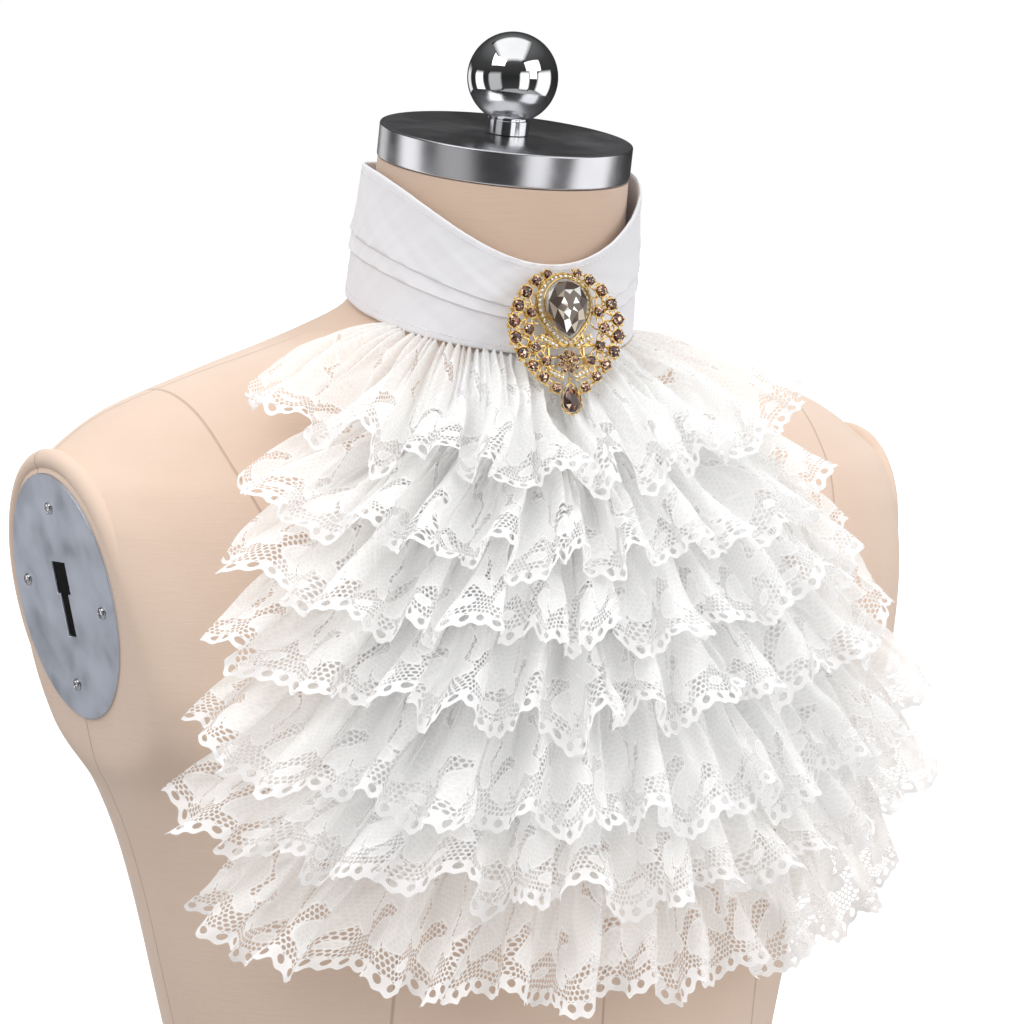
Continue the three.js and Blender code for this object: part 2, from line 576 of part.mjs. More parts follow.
// A point of a ruffle: t runs from -1 to 1 along it, v from the seam (0) to the hem (1).
function rufflePoint(tier, t, v) {
  const down = fallOf(tier, t, v);
  const middle = flatPoint(tier, t, down);
  const tangent = flatPoint(tier, t + NEAR, down).sub(flatPoint(tier, t - NEAR, down));
  const turn = flutePhase(tier, t + NEAR, down) - flutePhase(tier, t - NEAR, down);
  const waveLength = 2 * Math.PI * tangent.length() / turn;
  tangent.normalize();
  const drop = flatPoint(tier, t, down + NEAR).sub(flatPoint(tier, t, down - NEAR)).normalize();
  const out = new THREE.Vector3().crossVectors(drop, tangent).normalize();
  const phase = flutePhase(tier, t, down) + down * stray(tier, "bend", 11, t, 1.5 * down);
  const grown = RUFFLE.seamSwing + (1 - RUFFLE.seamSwing) * Math.max(down, 0) ** RUFFLE.growth;
  const swing = tier.swing * grown * (1 + stray(tier, "depth", 30, t)) * (1 - RUFFLE.endSwing * t * t)
    * (1 - VALLEY.calm * (1 - down) * valleyShare(tier, t));
  const overhang = Math.min(RUFFLE.overhang + stray(tier, "overhang", 31, t, 2), 1);
  const sway = overhang * grown * waveLength / (4 * Math.PI);
  const lump = stray(tier, "lump", 80, t, down) * Math.sin(Math.PI * Math.min(Math.max(down, 0), 1));
  const lean = waveLength * down ** 2 * stray(tier, "lean", 81, t);
  return middle.addScaledVector(out, lump - swing * Math.cos(phase))
    .addScaledVector(tangent, lean + sway * Math.sin(2 * phase));
}

function rufflePointOn(tier, u, v, depth) {
  const t = 2 * u - 1;
  const along1 = rufflePoint(tier, t + NEAR / 2, v).sub(rufflePoint(tier, t - NEAR / 2, v));
  const up = Math.min(v + 5 * NEAR, 1);
  const low = Math.max(v - 5 * NEAR, 0);
  const drop = rufflePoint(tier, t, up).sub(rufflePoint(tier, t, low));
  const normal = new THREE.Vector3().crossVectors(drop, along1).normalize();
  return rufflePoint(tier, t, v).addScaledVector(normal, depth);
}

function ruffleGeometry(tier) {
  return wallOf(
    (u, v) => rufflePointOn(tier, u, v, WALL / 2),
    (u, v) => rufflePointOn(tier, u, v, -WALL / 2),
    tier.flutes * RUFFLE.columnsPerFlute,
    RUFFLE.rows,
  );
}

// ---- Brooch -------------------------------------------------------------------------
// A pear outline: round above, drawn to a point below.
function pear(halfWidth, up, down, points) {
  const outline = [];
  for (let i = 0; i < points; i += 1) {
    const a = 2 * Math.PI * i / points;
    const low = Math.cos(a) < 0;
    const across = halfWidth * Math.sin(a) * (low ? 1 - 0.42 * Math.cos(a) ** 2 : 1);
    outline.push(new THREE.Vector2(across, (low ? down : up) * Math.cos(a)));
  }
  return outline.reverse();
}

// Local brooch plane: x across, y up, +Z out of the collar.
function broochGroup() {
  const group = new THREE.Group();
  const out = [Math.sin(BROOCH.angle), -Math.cos(BROOCH.angle)];
  group.position.set(BROOCH.reach * out[0], COLLAR.bottomCentre + BROOCH.reach * out[1], BROOCH.z);
  group.rotation.set(Math.PI / 2 - BROOCH.lean, 0, BROOCH.angle, "ZYX");
  return group;
}

function broochPlate() {
  const outline = [];
  for (let i = 0; i < BROOCH.points; i += 1) {
    const a = 2 * Math.PI * i / BROOCH.points;
    const low = Math.cos(a) < 0;
    const lobe = 1 + BROOCH.lobeDepth * Math.cos(BROOCH.lobes * a);
    const waist = low ? 1 - BROOCH.waist * Math.cos(a) ** 2 : 1;
    outline.push(new THREE.Vector2(
      BROOCH.halfWidth * Math.sin(a) * lobe * waist,
      (low ? BROOCH.down : BROOCH.up) * Math.cos(a) * lobe,
    ));
  }
  const shape = new THREE.Shape(outline.reverse());
  return new THREE.ExtrudeGeometry(shape, { depth: BROOCH.plate, bevelEnabled: false });
}

function lifted(outline, scale, height) {
  return outline.map((p) => new THREE.Vector3(p.x * scale, p.y * scale, height));
}

function pearStone(halfWidth, up, down, base, girdle, crown) {
  const outline = pear(halfWidth, up, down, PEAR.points);
  const rings = [
    lifted(outline, PEAR_CUT.base, base),
    lifted(outline, 1, base + girdle),
    lifted(outline, PEAR_CUT.crown, base + (girdle + crown) / 2),
    lifted(outline, PEAR_CUT.table, base + crown),
  ];
  return skinOf(rings, new THREE.Vector3(0, 0, base), new THREE.Vector3(0, 0, base + crown));
}

// A line round the pear stone, a seam gap and a width outside its girdle.
function colletLine(width, below) {
  const clear = SEAM_GAP + width;
  return pear(PEAR.halfWidth + clear, PEAR.up + clear, PEAR.down + SEAM_GAP + below, COLLET.points);
}

function roundStone(radius) {
  const foot = ROUND_CUT.base * radius;
  const top = ROUND_CUT.height * radius;
  const table = ROUND_CUT.table * radius;
  const profile = [[0, 0], [foot, 0], [radius, ROUND_CUT.girdle * radius], [table, top], [0, top]];
  return lathe(profile, ROUND_CUT.sides);
}

function addBrooch() {
  const group = broochGroup();
  const deck = BROOCH.plate + SEAM_GAP;
  add("brooch_plate", broochPlate(), GOLD, group);
  const ring = new THREE.Shape(colletLine(COLLET.width, COLLET.widthBelow));
  ring.holes.push(new THREE.Path(colletLine(0, 0).reverse()));
  const collet = new THREE.ExtrudeGeometry(ring, { depth: COLLET.height, bevelEnabled: false });
  collet.translate(0, PEAR.z, deck);
  add("brooch_collet", collet, GOLD, group);
  const stone = pearStone(PEAR.halfWidth, PEAR.up, PEAR.down, deck, PEAR.girdle, PEAR.crown);
  stone.translate(0, PEAR.z, 0);
  add("brooch_pear_stone", stone, SMOKY_GLASS, group);
  STONES.forEach((place, i) => {
    for (const side of [-1, 1]) {
      const gem = roundStone(place.radius);
      gem.translate(side * place.x, place.z, deck);
      add(`brooch_stone_${side < 0 ? "r" : "l"}${i + 1}`, gem, BROWN_GLASS, group);
    }
  });
  add("brooch_flower", flowerGeometry(deck), GOLD, group);
  const drop = pearStone(DROP.halfWidth, DROP.up, DROP.down, deck, DROP.height / 2, DROP.height);
  drop.translate(0, DROP.z, 0);
  add("brooch_drop", drop, BROWN_GLASS, group);
  add("brooch_pin", pinGeometry(), GOLD, group);
  jabot.add(group);
}

// The pin behind the plate: a bar along the collar between a hinge post and a catch.
function pinGeometry() {
  const half = PIN.length / 2;
  const reach = PIN.reach;
  const shape = new THREE.Shape([
    [-half, -SEAM_GAP], [-half, -reach], [half, -reach], [half, -SEAM_GAP], [half - PIN.post, -SEAM_GAP],
    [half - PIN.post, PIN.bar - reach], [PIN.post - half, PIN.bar - reach], [PIN.post - half, -SEAM_GAP],
  ].map(([x, y]) => new THREE.Vector2(x, y)));
  const bar = new THREE.ExtrudeGeometry(shape, { depth: PIN.bar, bevelEnabled: false });
  bar.rotateX(Math.PI / 2);
  return bar.translate(0, PIN.z, 0);
}

// A five-petalled rosette, domed in the middle.
function flowerGeometry(deck) {
  const petal = (scale, height) => {
    const ring = [];
    for (let i = 0; i < 4 * FLOWER.petals; i += 1) {
      const a = 2 * Math.PI * i / (4 * FLOWER.petals);
      const wave = 1 - FLOWER.notch * (1 - Math.cos(FLOWER.petals * a));
      const r = FLOWER.radius * scale * wave;
      ring.push(new THREE.Vector3(r * Math.cos(a), FLOWER.z + r * Math.sin(a), deck + height));
    }
    return ring;
  };
  const rings = [
    petal(FLOWER.foot, 0),
    petal(1, FLOWER.height * FLOWER.bulge),
    petal(FLOWER.shoulder, FLOWER.height * FLOWER.shoulderHeight),
  ];
  return skinOf(
    rings,
    new THREE.Vector3(0, FLOWER.z, deck),
    new THREE.Vector3(0, FLOWER.z, deck + FLOWER.height),
  );
}

// ---- The whole ------------------------------------------------------------------------
add("dress_form", formGeometry(), FORM_COTTON);
addCapAndKnob();
addArmPlate(-1);
addArmPlate(1);
add("collar", collarGeometry(), COLLAR_WHITE);
addButtons();
add("bib", bibGeometry(), FABRIC_WHITE);
for (const tier of TIERS) add(tier.name, ruffleGeometry(tier), FABRIC_WHITE);
addBrooch();

export default jabot;
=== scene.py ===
"""The looks of the ruffle jabot and its dress form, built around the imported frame.

Shapes are worked out in millimetres with the form facing -Y, and turned into metres when
they become meshes. The tables below repeat the part's own driving sizes.
"""

import math

import bpy
import numpy as np
from mathutils import Matrix


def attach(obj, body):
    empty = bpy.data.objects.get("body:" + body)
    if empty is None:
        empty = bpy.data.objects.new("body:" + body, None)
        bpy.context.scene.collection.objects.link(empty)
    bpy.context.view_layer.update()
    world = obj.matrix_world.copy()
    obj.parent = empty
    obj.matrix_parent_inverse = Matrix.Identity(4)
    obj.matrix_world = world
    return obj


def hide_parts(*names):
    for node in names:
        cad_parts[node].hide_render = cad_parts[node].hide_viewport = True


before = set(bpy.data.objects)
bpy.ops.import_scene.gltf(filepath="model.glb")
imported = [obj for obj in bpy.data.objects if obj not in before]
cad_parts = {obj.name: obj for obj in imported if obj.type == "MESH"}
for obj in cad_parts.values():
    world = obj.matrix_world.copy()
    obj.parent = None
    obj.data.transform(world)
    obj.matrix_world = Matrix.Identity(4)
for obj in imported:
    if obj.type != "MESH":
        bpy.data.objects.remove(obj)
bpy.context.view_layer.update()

MM = 0.001
rng = np.random.default_rng(7)

# ---- Sizes shared with the part, in millimetres ------------------------------
FORM_COLUMNS = ("z", "halfWidth", "front", "back", "centre", "rise", "power")
FORM_SECTIONS = [
    (0, 158, 108, 118, 0, 0, 2.2), (50, 160, 110, 118, 0, 0, 2.2), (110, 146, 103, 106, 0, 0, 2.2),
    (190, 121, 92, 86, 0, 0, 2.2), (250, 131, 95, 90, 0, 0, 2.2), (317, 146, 101, 96, 0, 0, 2.2),
    (373, 160, 108, 99, 0, 0, 2.25), (405, 173, 111, 100, 0, 0, 2.3), (432, 196, 110, 98, 0, 0, 2.3),
    (458, 210, 105, 95, 1, 0, 2.3), (485, 216, 100, 92, 2, 0, 2.3), (512, 217, 93, 87, 2, 0.02, 2.2),
    (530, 212, 86, 80, 2, 0.04, 2.1), (543, 198, 79, 74, 1, 0.07, 2.0), (556, 179, 72, 69, 0, 0.12, 1.95),
    (570, 140, 66, 65, -4, 0.18, 1.9), (583, 93, 60, 62, -8, 0.23, 1.9),
    (592, 65, 56.3, 59, -11, 0.26, 2.0), (601, 57.5, 56.5, 57, -12.5, 0.27, 2.0),
    (622, 54.5, 54.5, 54.5, -16, 0.24, 2.0), (660, 53, 53, 53, -23.4, 0.2, 2.0),
]
NECK_TOP = 660
NECK_LEAN = math.atan(0.2)
CAP = dict(radius=53.8, height=14.5)
STUB = dict(radius=9.2, height=7)
BALL = dict(radius=19.2, flat=16.5)
PLATE = dict(x=193, y=4, z=485, half_depth=43, half_height=52, thickness=2.4, pocket=1.8,
             tilt=math.radians(12), lean=math.radians(6))
RIM = dict(reach=4.6, radius=4.4, sunk=4.6)
KEYHOLE = dict(wide=12.5, wide_height=14, narrow=7.5, narrow_height=18, top=15)
SCREW = dict(radius=2.6, head=1.1)
SCREWS = [(-0.05, 0.72), (0.72, 0.1), (-0.74, -0.08), (0.1, -0.72)]
SEAM_GAP = 0.3
WALL = 1.2

COLLAR = dict(bottom_radius=59.9, top_radius=57, bottom_centre=-12, top_centre=-24, wall=1.5,
              bottom_z=599, bottom_tilt=17, top_z=662, dip=43, dip_angle=math.radians(-9.5),
              dip_power=3.4, overlap=0.24, overlap_step=1.1)
# Up the collar from 0 to 1, and how far its two tucks stand out there.
COLLAR_ROWS = [(0, 0), (0.18, 0), (0.345, 0.05), (0.362, 1.0), (0.475, 0.35), (0.492, 1.25),
               (0.7, 0.4), (0.88, 0), (1, 0)]
BUTTON = dict(radius=5.5, thickness=2, lift=0.9, heights=(0.2, 0.76))

CHEST_COLUMNS = ("z", "y", "bow")
CHEST_LINE = [
    (300, -109, 0.0019), (350, -114, 0.0019), (400, -118, 0.0018), (432, -117, 0.0014),
    (485, -107, 0.0009), (530, -92, 0.0009), (562, -78, 0.0016), (600, -70, 0.003),
]
BIB = dict(turn=math.radians(-4), top_angle=math.radians(30), shift=-5, bottom_z=384, below=562)
BIB_COLUMNS = ("z", "half")
BIB_WIDTHS = [(384, 128), (440, 118), (508, 96), (540, 80), (562, 62)]

TIER_COLUMNS = ("seam_z", "seam_rise", "seam_half", "hem_z", "hem_rise", "hem_half", "shift",
                "stand", "end_stand", "puff", "flutes", "swing", "seed")
TIERS = [dict(zip(TIER_COLUMNS, row)) for row in [
    (0, 0, 0, 535, 33, 136, -23, 39, 0.1, 4, 10, 8.6, 1),
    (552, 14, 60, 502, 30, 149, -28, 42, 0.32, 1, 10, 8.4, 2),
    (535, 14, 76, 471, 31, 160, -27, 40, 0.34, 0, 11, 8.2, 3),
    (505, 15, 91, 439, 32, 172, -23, 38, 0.34, 0, 12, 8.4, 4),
    (472, 15, 105, 398, 33, 188, -12, 40, 0.34, 0, 13, 8.5, 5),
    (437, 15, 115, 367, 36, 195, -6, 38, 0.34, 0, 13, 8.5, 6),
    (402, 14, 120, 326, 30, 182, -9, 31, 0.34, 0, 13, 8.5, 7),
]]
RUFFLE = dict(turn=math.radians(-8), seam_shift=0.3, collar_span=math.radians(70), collar_radius=61.2,
              seam_swing=0.06, growth=1.1, overhang=0.92, end_swing=0.3, wander=0.9,
              drift=0.5, hem_wave=2.2, end_spread=0.45, corner=0.22, corner_from=0.84)
# How far a ruffle strays: its fall, its swing, its waves' places, its middle and its folds' lean.
STRAY = dict(fall=0.085, swing=0.42, place=1.3, middle=4.4, lean=0.16)
VALLEY = dict(width=0.16, depth=1.05, calm=0.85)

BROOCH = dict(angle=math.radians(-7), reach=72.1, z=591, lean=math.radians(9.8), plate=1.8)
# The brooch has the solids' own plain, symmetric layout in place of the photo's design.
PEAR = dict(z=11.5, half_width=10, up=10.5, down=14, girdle=3.2, crown=6.4)
PEAR_RIM = dict(z=9.5, half_width=12.9, half_height=15.3)
RING_STONES = 36
# The round brown stones of one half: across, up and radius. The other half mirrors them.
HALF_STONES = [
    (6.8, 24.4, 1.9), (12.2, 21.6, 2.3), (17.2, 17.2, 2.6), (21.2, 11.6, 2.6), (23.6, 5.2, 2.7),
    (23.4, -1.6, 2.7), (20.8, -8.0, 2.6), (16.6, -13.4, 2.5), (12.0, -18.2, 2.3), (6.6, -22.6, 2.2),
    (15.4, 8.6, 2.3), (17.2, 1.8, 2.4), (14.6, -5.6, 2.3), (10.2, -11.6, 2.1),
]
STONES = [(way * x, z, radius) for way in (1, -1) for x, z, radius in HALF_STONES]
# Rows of small clear stones on one half: the two ends, how many and their radius.
HALF_BARS = [((4.2, -5.4), (12.0, -1.4), 5, 0.85), ((2.4, -18.6), (8.8, -15.6), 4, 0.85)]
# Stiff wires across the back, which carry the pin.
BACK_WIRES = [((-17, 8), (17, 8)), ((-8, -18), (-8, 8)), ((8, -18), (8, 8)), ((-18, -5), (18, -5))]
ROSETTE = dict(x=0, z=-12)
DROP = dict(x=0, z=-28.5, half_width=4.2, up=7, down=4.6, height=3.4)

# ---- Sizes of the looks alone ------------------------------------------------
LACE_REPEAT = 45.6     # one group of motifs and one scallop
NET_CELL = 2.45
NET_OPENING = -0.15    # sum of three waves above which a cell of the net is open
POINT_HEIGHT = 0.7
CORD_WIDTH = 0.8       # the dense outline of a motif
SCALLOP_DEPTH = 4.6
EYELETS = 6            # in one repeat
EYELET_RADIUS = 1.7
EYELET_HEIGHT = 4.6
BAND_HEIGHT = 7.4
COLUMNS_PER_FLUTE = 60
# The seams over the breasts: half their distance apart below SEAM_BEND and at SEAM_TOP.
SEAM_NARROW, SEAM_WIDE = 91, 149
SEAM_BEND, SEAM_TOP = 380, 561
RUFFLE_ROWS = 66


# ---- Small tools -------------------------------------------------------------
def srgb(r, g, b):
    """A colour given as 0..255 display values, as linear numbers."""
    return tuple(((c / 255 + 0.055) / 1.055) ** 2.4 if c > 10 else c / 255 / 12.92 for c in (r, g, b))


LACE_WHITE = (srgb(250, 249, 249), srgb(254, 254, 253))


def along(rows, names, column, z):
    """Smooth value of a table's column at height z, with no overshoot between rows."""
    table = np.asarray(rows, float)
    xs, ys = table[:, 0], table[:, names.index(column)]
    z = np.clip(np.asarray(z, float), xs[0], xs[-1])
    i = np.clip(np.searchsorted(xs, z, side="left") - 1, 0, len(xs) - 2)
    slope = np.diff(ys) / np.diff(xs)
    tangent = np.zeros_like(ys)
    before, after = slope[:-1], slope[1:]
    same = before * after > 0
    tangent[1:-1] = np.where(same, 2 * before * after / np.where(same, before + after, 1), 0)
    tangent[0], tangent[-1] = slope[0], slope[-1]
    h = xs[i + 1] - xs[i]
    t = (z - xs[i]) / h
    return ((2 * t**3 - 3 * t**2 + 1) * ys[i] + (t**3 - 2 * t**2 + t) * h * tangent[i]
            + (3 * t**2 - 2 * t**3) * ys[i + 1] + (t**3 - t**2) * h * tangent[i + 1])


def unit(vectors):
    return vectors / np.maximum(np.linalg.norm(vectors, axis=-1, keepdims=True), 1e-9)


def waver(seed, x):
    """Slow uneven waves in -1..1, a different one for each seed."""
    def phase(j):
        value = math.sin(seed * 12.9898 + j * 78.233) * 43758.5453
        return 2 * math.pi * (value - math.floor(value))
    return (0.5 * np.sin(2.3 * x + phase(1)) + 0.3 * np.sin(4.9 * x + phase(2))
            + 0.2 * np.sin(8.7 * x + phase(3)))


def grid_faces(rows, columns, closed=False, start=0):
    """Quads over a grid of points; closed joins the last column to the first."""
    width = columns if closed else columns + 1
    j, i = np.meshgrid(np.arange(rows), np.arange(columns), indexing="ij")
    a = start + j * width + i
    b = start + j * width + (i + 1) % width
    return np.stack([a, a + width, b + width, b], -1).reshape(-1, 4)


def add_mesh(name, points, faces, material, smooth=True, uv=None, sharp_angle=None):
    """A mesh object from points in millimetres; uv gives one pair for each point."""
    mesh = bpy.data.meshes.new(name)
    faces = faces.tolist() if isinstance(faces, np.ndarray) else faces
    mesh.from_pydata((np.asarray(points, float) * MM).tolist(), [], faces)
    mesh.polygons.foreach_set("use_smooth", [smooth] * len(mesh.polygons))
    if uv is not None:
        layer = mesh.uv_layers.new(name="Strip")
        loops = np.empty(len(mesh.loops), int)
        mesh.loops.foreach_get("vertex_index", loops)
        layer.data.foreach_set("uv", np.asarray(uv, float)[loops].ravel())
    if sharp_angle is not None:
        mesh.set_sharp_from_angle(angle=math.radians(sharp_angle))
    mesh.materials.append(material)
    mesh.validate()
    obj = bpy.data.objects.new(name, mesh)
    bpy.context.scene.collection.objects.link(obj)
    return obj


class Pile:
    """Collects many small shapes into one mesh."""

    def __init__(self):
        self.points, self.faces, self.count, self.tones = [], [], 0, []

    def add(self, points, faces, tones=None):
        points = np.asarray(points, float)
        self.points.append(points)
        self.faces += [[self.count + int(k) for k in face] for face in faces]
        self.tones += list(tones) if tones is not None else [0.5] * len(faces)
        self.count += len(points)

    def build(self, name, material, smooth=True, matrix=None, sharp_angle=None):
        points = moved(np.concatenate(self.points), np.eye(4) if matrix is None else matrix)
        obj = add_mesh(name, points, self.faces, material, smooth, sharp_angle=sharp_angle)
        tone = obj.data.attributes.new("tone", "FLOAT", "FACE")
        tone.data.foreach_set("value", np.asarray(self.tones, float))
        return obj


def lathe(profile, segments):
    """Points and faces of a round shape about Z; the profile starts and ends on the axis."""
    profile = np.asarray(profile, float)
    rings = profile[1:-1]
    a = 2 * np.pi * np.arange(segments) / segments
    points = np.stack([
        rings[:, :1] * np.cos(a), rings[:, :1] * np.sin(a), np.repeat(rings[:, 1:], segments, 1),
    ], -1).reshape(-1, 3)
    faces = [list(f[::-1]) for f in grid_faces(len(rings) - 1, segments, closed=True)]
    low, high = len(points), len(points) + 1
    points = np.vstack([points, [0, 0, profile[0, 1]], [0, 0, profile[-1, 1]]])
    last = (len(rings) - 1) * segments
    for i in range(segments):
        faces.append([low, (i + 1) % segments, i])
        faces.append([high, last + i, last + (i + 1) % segments])
    return points, faces


def rounded(profile, radius, steps=5):
    """Rounds the inner corners of a profile of (radius, height) pairs."""
    profile = [np.asarray(p, float) for p in profile]
    out = [profile[0]]
    for before, corner, after in zip(profile, profile[1:], profile[2:]):
        r = min(radius, 0.45 * np.linalg.norm(before - corner), 0.45 * np.linalg.norm(after - corner))
        a = corner + unit(before - corner) * r
        b = corner + unit(after - corner) * r
        for k in range(steps + 1):
            s = k / steps
            out.append((1 - s) ** 2 * a + 2 * s * (1 - s) * corner + s**2 * b)
    return out + [profile[-1]]


def tube(path, radius, sides=8):
    """Points and faces of a closed-end tube along a path."""
    path = np.asarray(path, float)
    ahead = unit(np.gradient(path, axis=0))
    side = unit(np.cross(ahead, np.array([0.02, 0.03, 1.0])))
    up = np.cross(side, ahead)
    a = 2 * np.pi * np.arange(sides) / sides
    ring = np.cos(a)[None, :, None] * side[:, None] + np.sin(a)[None, :, None] * up[:, None]
    radii = np.broadcast_to(np.asarray(radius, float), (len(path),))
    points = (path[:, None] + radii[:, None, None] * ring).reshape(-1, 3)
    faces = grid_faces(len(path) - 1, sides, closed=True).tolist()
    faces.append(list(range(sides)))
    faces.append([(len(path) - 1) * sides + k for k in range(sides)][::-1])
    return points, faces


def frame_matrix(x_axis, y_axis, z_axis, at):
    matrix = np.eye(4)
    matrix[:3, 0], matrix[:3, 1], matrix[:3, 2], matrix[:3, 3] = x_axis, y_axis, z_axis, at
    return matrix


def moved(points, matrix):
    return np.asarray(points, float) @ matrix[:3, :3].T + matrix[:3, 3]


def fit(piece, slot, *nodes):
    """Rides a piece on the one body and hides the CAD nodes it stands for; slot, its finish, is not used.
    """
    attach(piece, "root")
    if nodes:
        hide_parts(*nodes)


# ---- Materials ---------------------------------------------------------------
class Sum:
    """A number inside a node tree, so that patterns are written as plain arithmetic."""

    def __init__(self, tree, socket):
        self.tree, self.socket = tree, socket

    def calc(self, operation, *others, clamp=False):
        node = self.tree.nodes.new("ShaderNodeMath")
        node.operation, node.use_clamp = operation, clamp
        for slot, value in zip(node.inputs, (self, *others)):
            if isinstance(value, Sum):
                self.tree.links.new(value.socket, slot)
            else:
                slot.default_value = value
        return Sum(self.tree, node.outputs[0])

    def __add__(self, other): return self.calc("ADD", other)
    def __sub__(self, other): return self.calc("SUBTRACT", other)
    def __mul__(self, other): return self.calc("MULTIPLY", other)
    def __rsub__(self, other): return self.calc("MULTIPLY", -1.0) + other
    __radd__, __rmul__ = __add__, __mul__
    def most(self, other): return self.calc("MAXIMUM", other)
    def least(self, other): return self.calc("MINIMUM", other)
    def size(self): return self.calc("ABSOLUTE")
    def cos(self): return self.calc("COSINE")

    def above(self, limit, soft):
        """1 above a limit and 0 below it, with a slope as wide as soft between them."""
        return self.calc("MULTIPLY_ADD", 1 / soft, 0.5 - limit / soft, clamp=True)

    def below(self, limit, soft):
        return self.calc("MULTIPLY_ADD", -1 / soft, 0.5 + limit / soft, clamp=True)


def new_material(name):
    material = bpy.data.materials.new(name)
    material.use_nodes = True
    tree = material.node_tree
    shader = tree.nodes["Principled BSDF"]
    return material, tree, shader


def link_node(tree, kind, inputs=None, **settings):
    node = tree.nodes.new(kind)
    for key, value in settings.items():
        setattr(node, key, value)
    for key, value in (inputs or {}).items():
        if isinstance(value, bpy.types.NodeSocket):
            tree.links.new(value, node.inputs[key])
        else:
            node.inputs[key].default_value = value
    return node


def object_position(tree):
    return tree.nodes.new("ShaderNodeTexCoord").outputs["Object"]


def noise(tree, position, scale, detail=4.0, roughness=0.55, stretch=(1, 1, 1)):
    mapping = link_node(tree, "ShaderNodeMapping", {"Vector": position, "Scale": stretch})
    return link_node(tree, "ShaderNodeTexNoise", {
        "Vector": mapping.outputs[0], "Scale": scale, "Detail": detail, "Roughness": roughness,
    }).outputs["Fac"]


def ramp(tree, factor, stops):
    node = link_node(tree, "ShaderNodeValToRGB", {"Fac": factor})
    elements = node.color_ramp.elements
    while len(elements) < len(stops):
        elements.new(0.5)
    for element, (at, colour) in zip(elements, stops):
        element.position = at
        element.color = (*colour, 1)
    return node.outputs["Color"]


def bump(tree, shader, height, strength, distance):
    node = link_node(tree, "ShaderNodeBump", {"Height": height, "Strength": strength, "Distance": distance})
    tree.links.new(node.outputs[0], shader.inputs["Normal"])
    return node


def lace_material():
    """White lace: clothwork on a hexagonal net above a band with eyelets.

    The map holds millimetres along the strip and up from its scalloped edge, and the
    attribute "clothwork" how far inside a motif each point lies, in millimetres.
    """
    material, tree, shader = new_material("lace")
    place = link_node(tree, "ShaderNodeSeparateXYZ", {
        "Vector": link_node(tree, "ShaderNodeUVMap", uv_map="Strip").outputs[0],
    })
    u, w = Sum(tree, place.outputs[0]), Sum(tree, place.outputs[1])
    inside = Sum(tree, link_node(tree, "ShaderNodeAttribute", attribute_name="clothwork").outputs["Fac"])
    soft = 0.25

    # The net: three waves at 60 degrees to each other leave round cells between threads.
    step = 2 * math.pi / NET_CELL
    x, y = u * step, w * (step / math.sqrt(3))
    cells = (y + y).cos() + (x + y).cos() + (x - y).cos()
    net = cells.below(NET_OPENING, 0.8)

    # The hem band, its eyelets and its small points.
    pitch = LACE_REPEAT / EYELETS
    wave = (u * (2 * math.pi / pitch)).cos()
    rise = w - EYELET_HEIGHT
    eyelet = rise * rise + wave * (pitch / (2 * math.pi)) ** 2 * 2
    limit = EYELET_RADIUS**2 - 2 * (pitch / (2 * math.pi)) ** 2
    hole = eyelet.above(limit, 2 * EYELET_RADIUS * soft)
    edge = w - wave * POINT_HEIGHT
    work = inside.above(0, soft) * (inside.above(CORD_WIDTH, 0.5) * -0.14 + 0.98)
    alpha = work.most(net * 0.9).most(edge.below(BAND_HEIGHT, soft) * 0.96)
    alpha = alpha * hole * edge.above(POINT_HEIGHT + 0.2, soft)

    tone = link_node(tree, "ShaderNodeMapRange", {
        "Value": inside.socket, "From Min": -1.0, "From Max": 2.0,
    })
    colour = ramp(tree, tone.outputs[0], [(0.0, LACE_WHITE[0]), (1.0, LACE_WHITE[1])])
    tree.links.new(colour, shader.inputs["Base Color"])
    shader.inputs["Roughness"].default_value = 0.75

    # Thin cotton lets light through, and the openings let everything through.
    through = link_node(tree, "ShaderNodeBsdfTranslucent", {"Color": colour})
    cloth = link_node(tree, "ShaderNodeMixShader", {0: 0.42, 1: shader.outputs[0], 2: through.outputs[0]})
    clear = link_node(tree, "ShaderNodeBsdfTransparent")
    surface = link_node(tree, "ShaderNodeMixShader", {
        0: alpha.socket, 1: clear.outputs[0], 2: cloth.outputs[0],
    })
    tree.links.new(surface.outputs[0], tree.nodes["Material Output"].inputs["Surface"])
    return material


def cotton_material(name, light, dark, scale, strength, sheen=0.2):
    """Woven cotton: a fine plain weave in relief over slow changes of tone."""
    material, tree, shader = new_material(name)
    position = object_position(tree)
    cloud = noise(tree, position, 14.0, 5.0)
    tree.links.new(ramp(tree, cloud, [(0.32, dark), (0.68, light)]), shader.inputs["Base Color"])
    fine = noise(tree, position, scale, 2.0, 0.6, (1.0, 1.0, 2.6))
    coarse = noise(tree, position, scale * 0.3, 3.0, 0.6, (0.35, 0.35, 2.2))
    total = Sum(tree, fine) * 0.5 + Sum(tree, coarse) * 0.5
    bump(tree, shader, total.socket, strength, 0.0006)
    shader.inputs["Roughness"].default_value = 0.88
    shader.inputs["Sheen Weight"].default_value = sheen
    shader.inputs["Sheen Roughness"].default_value = 0.5
    return material


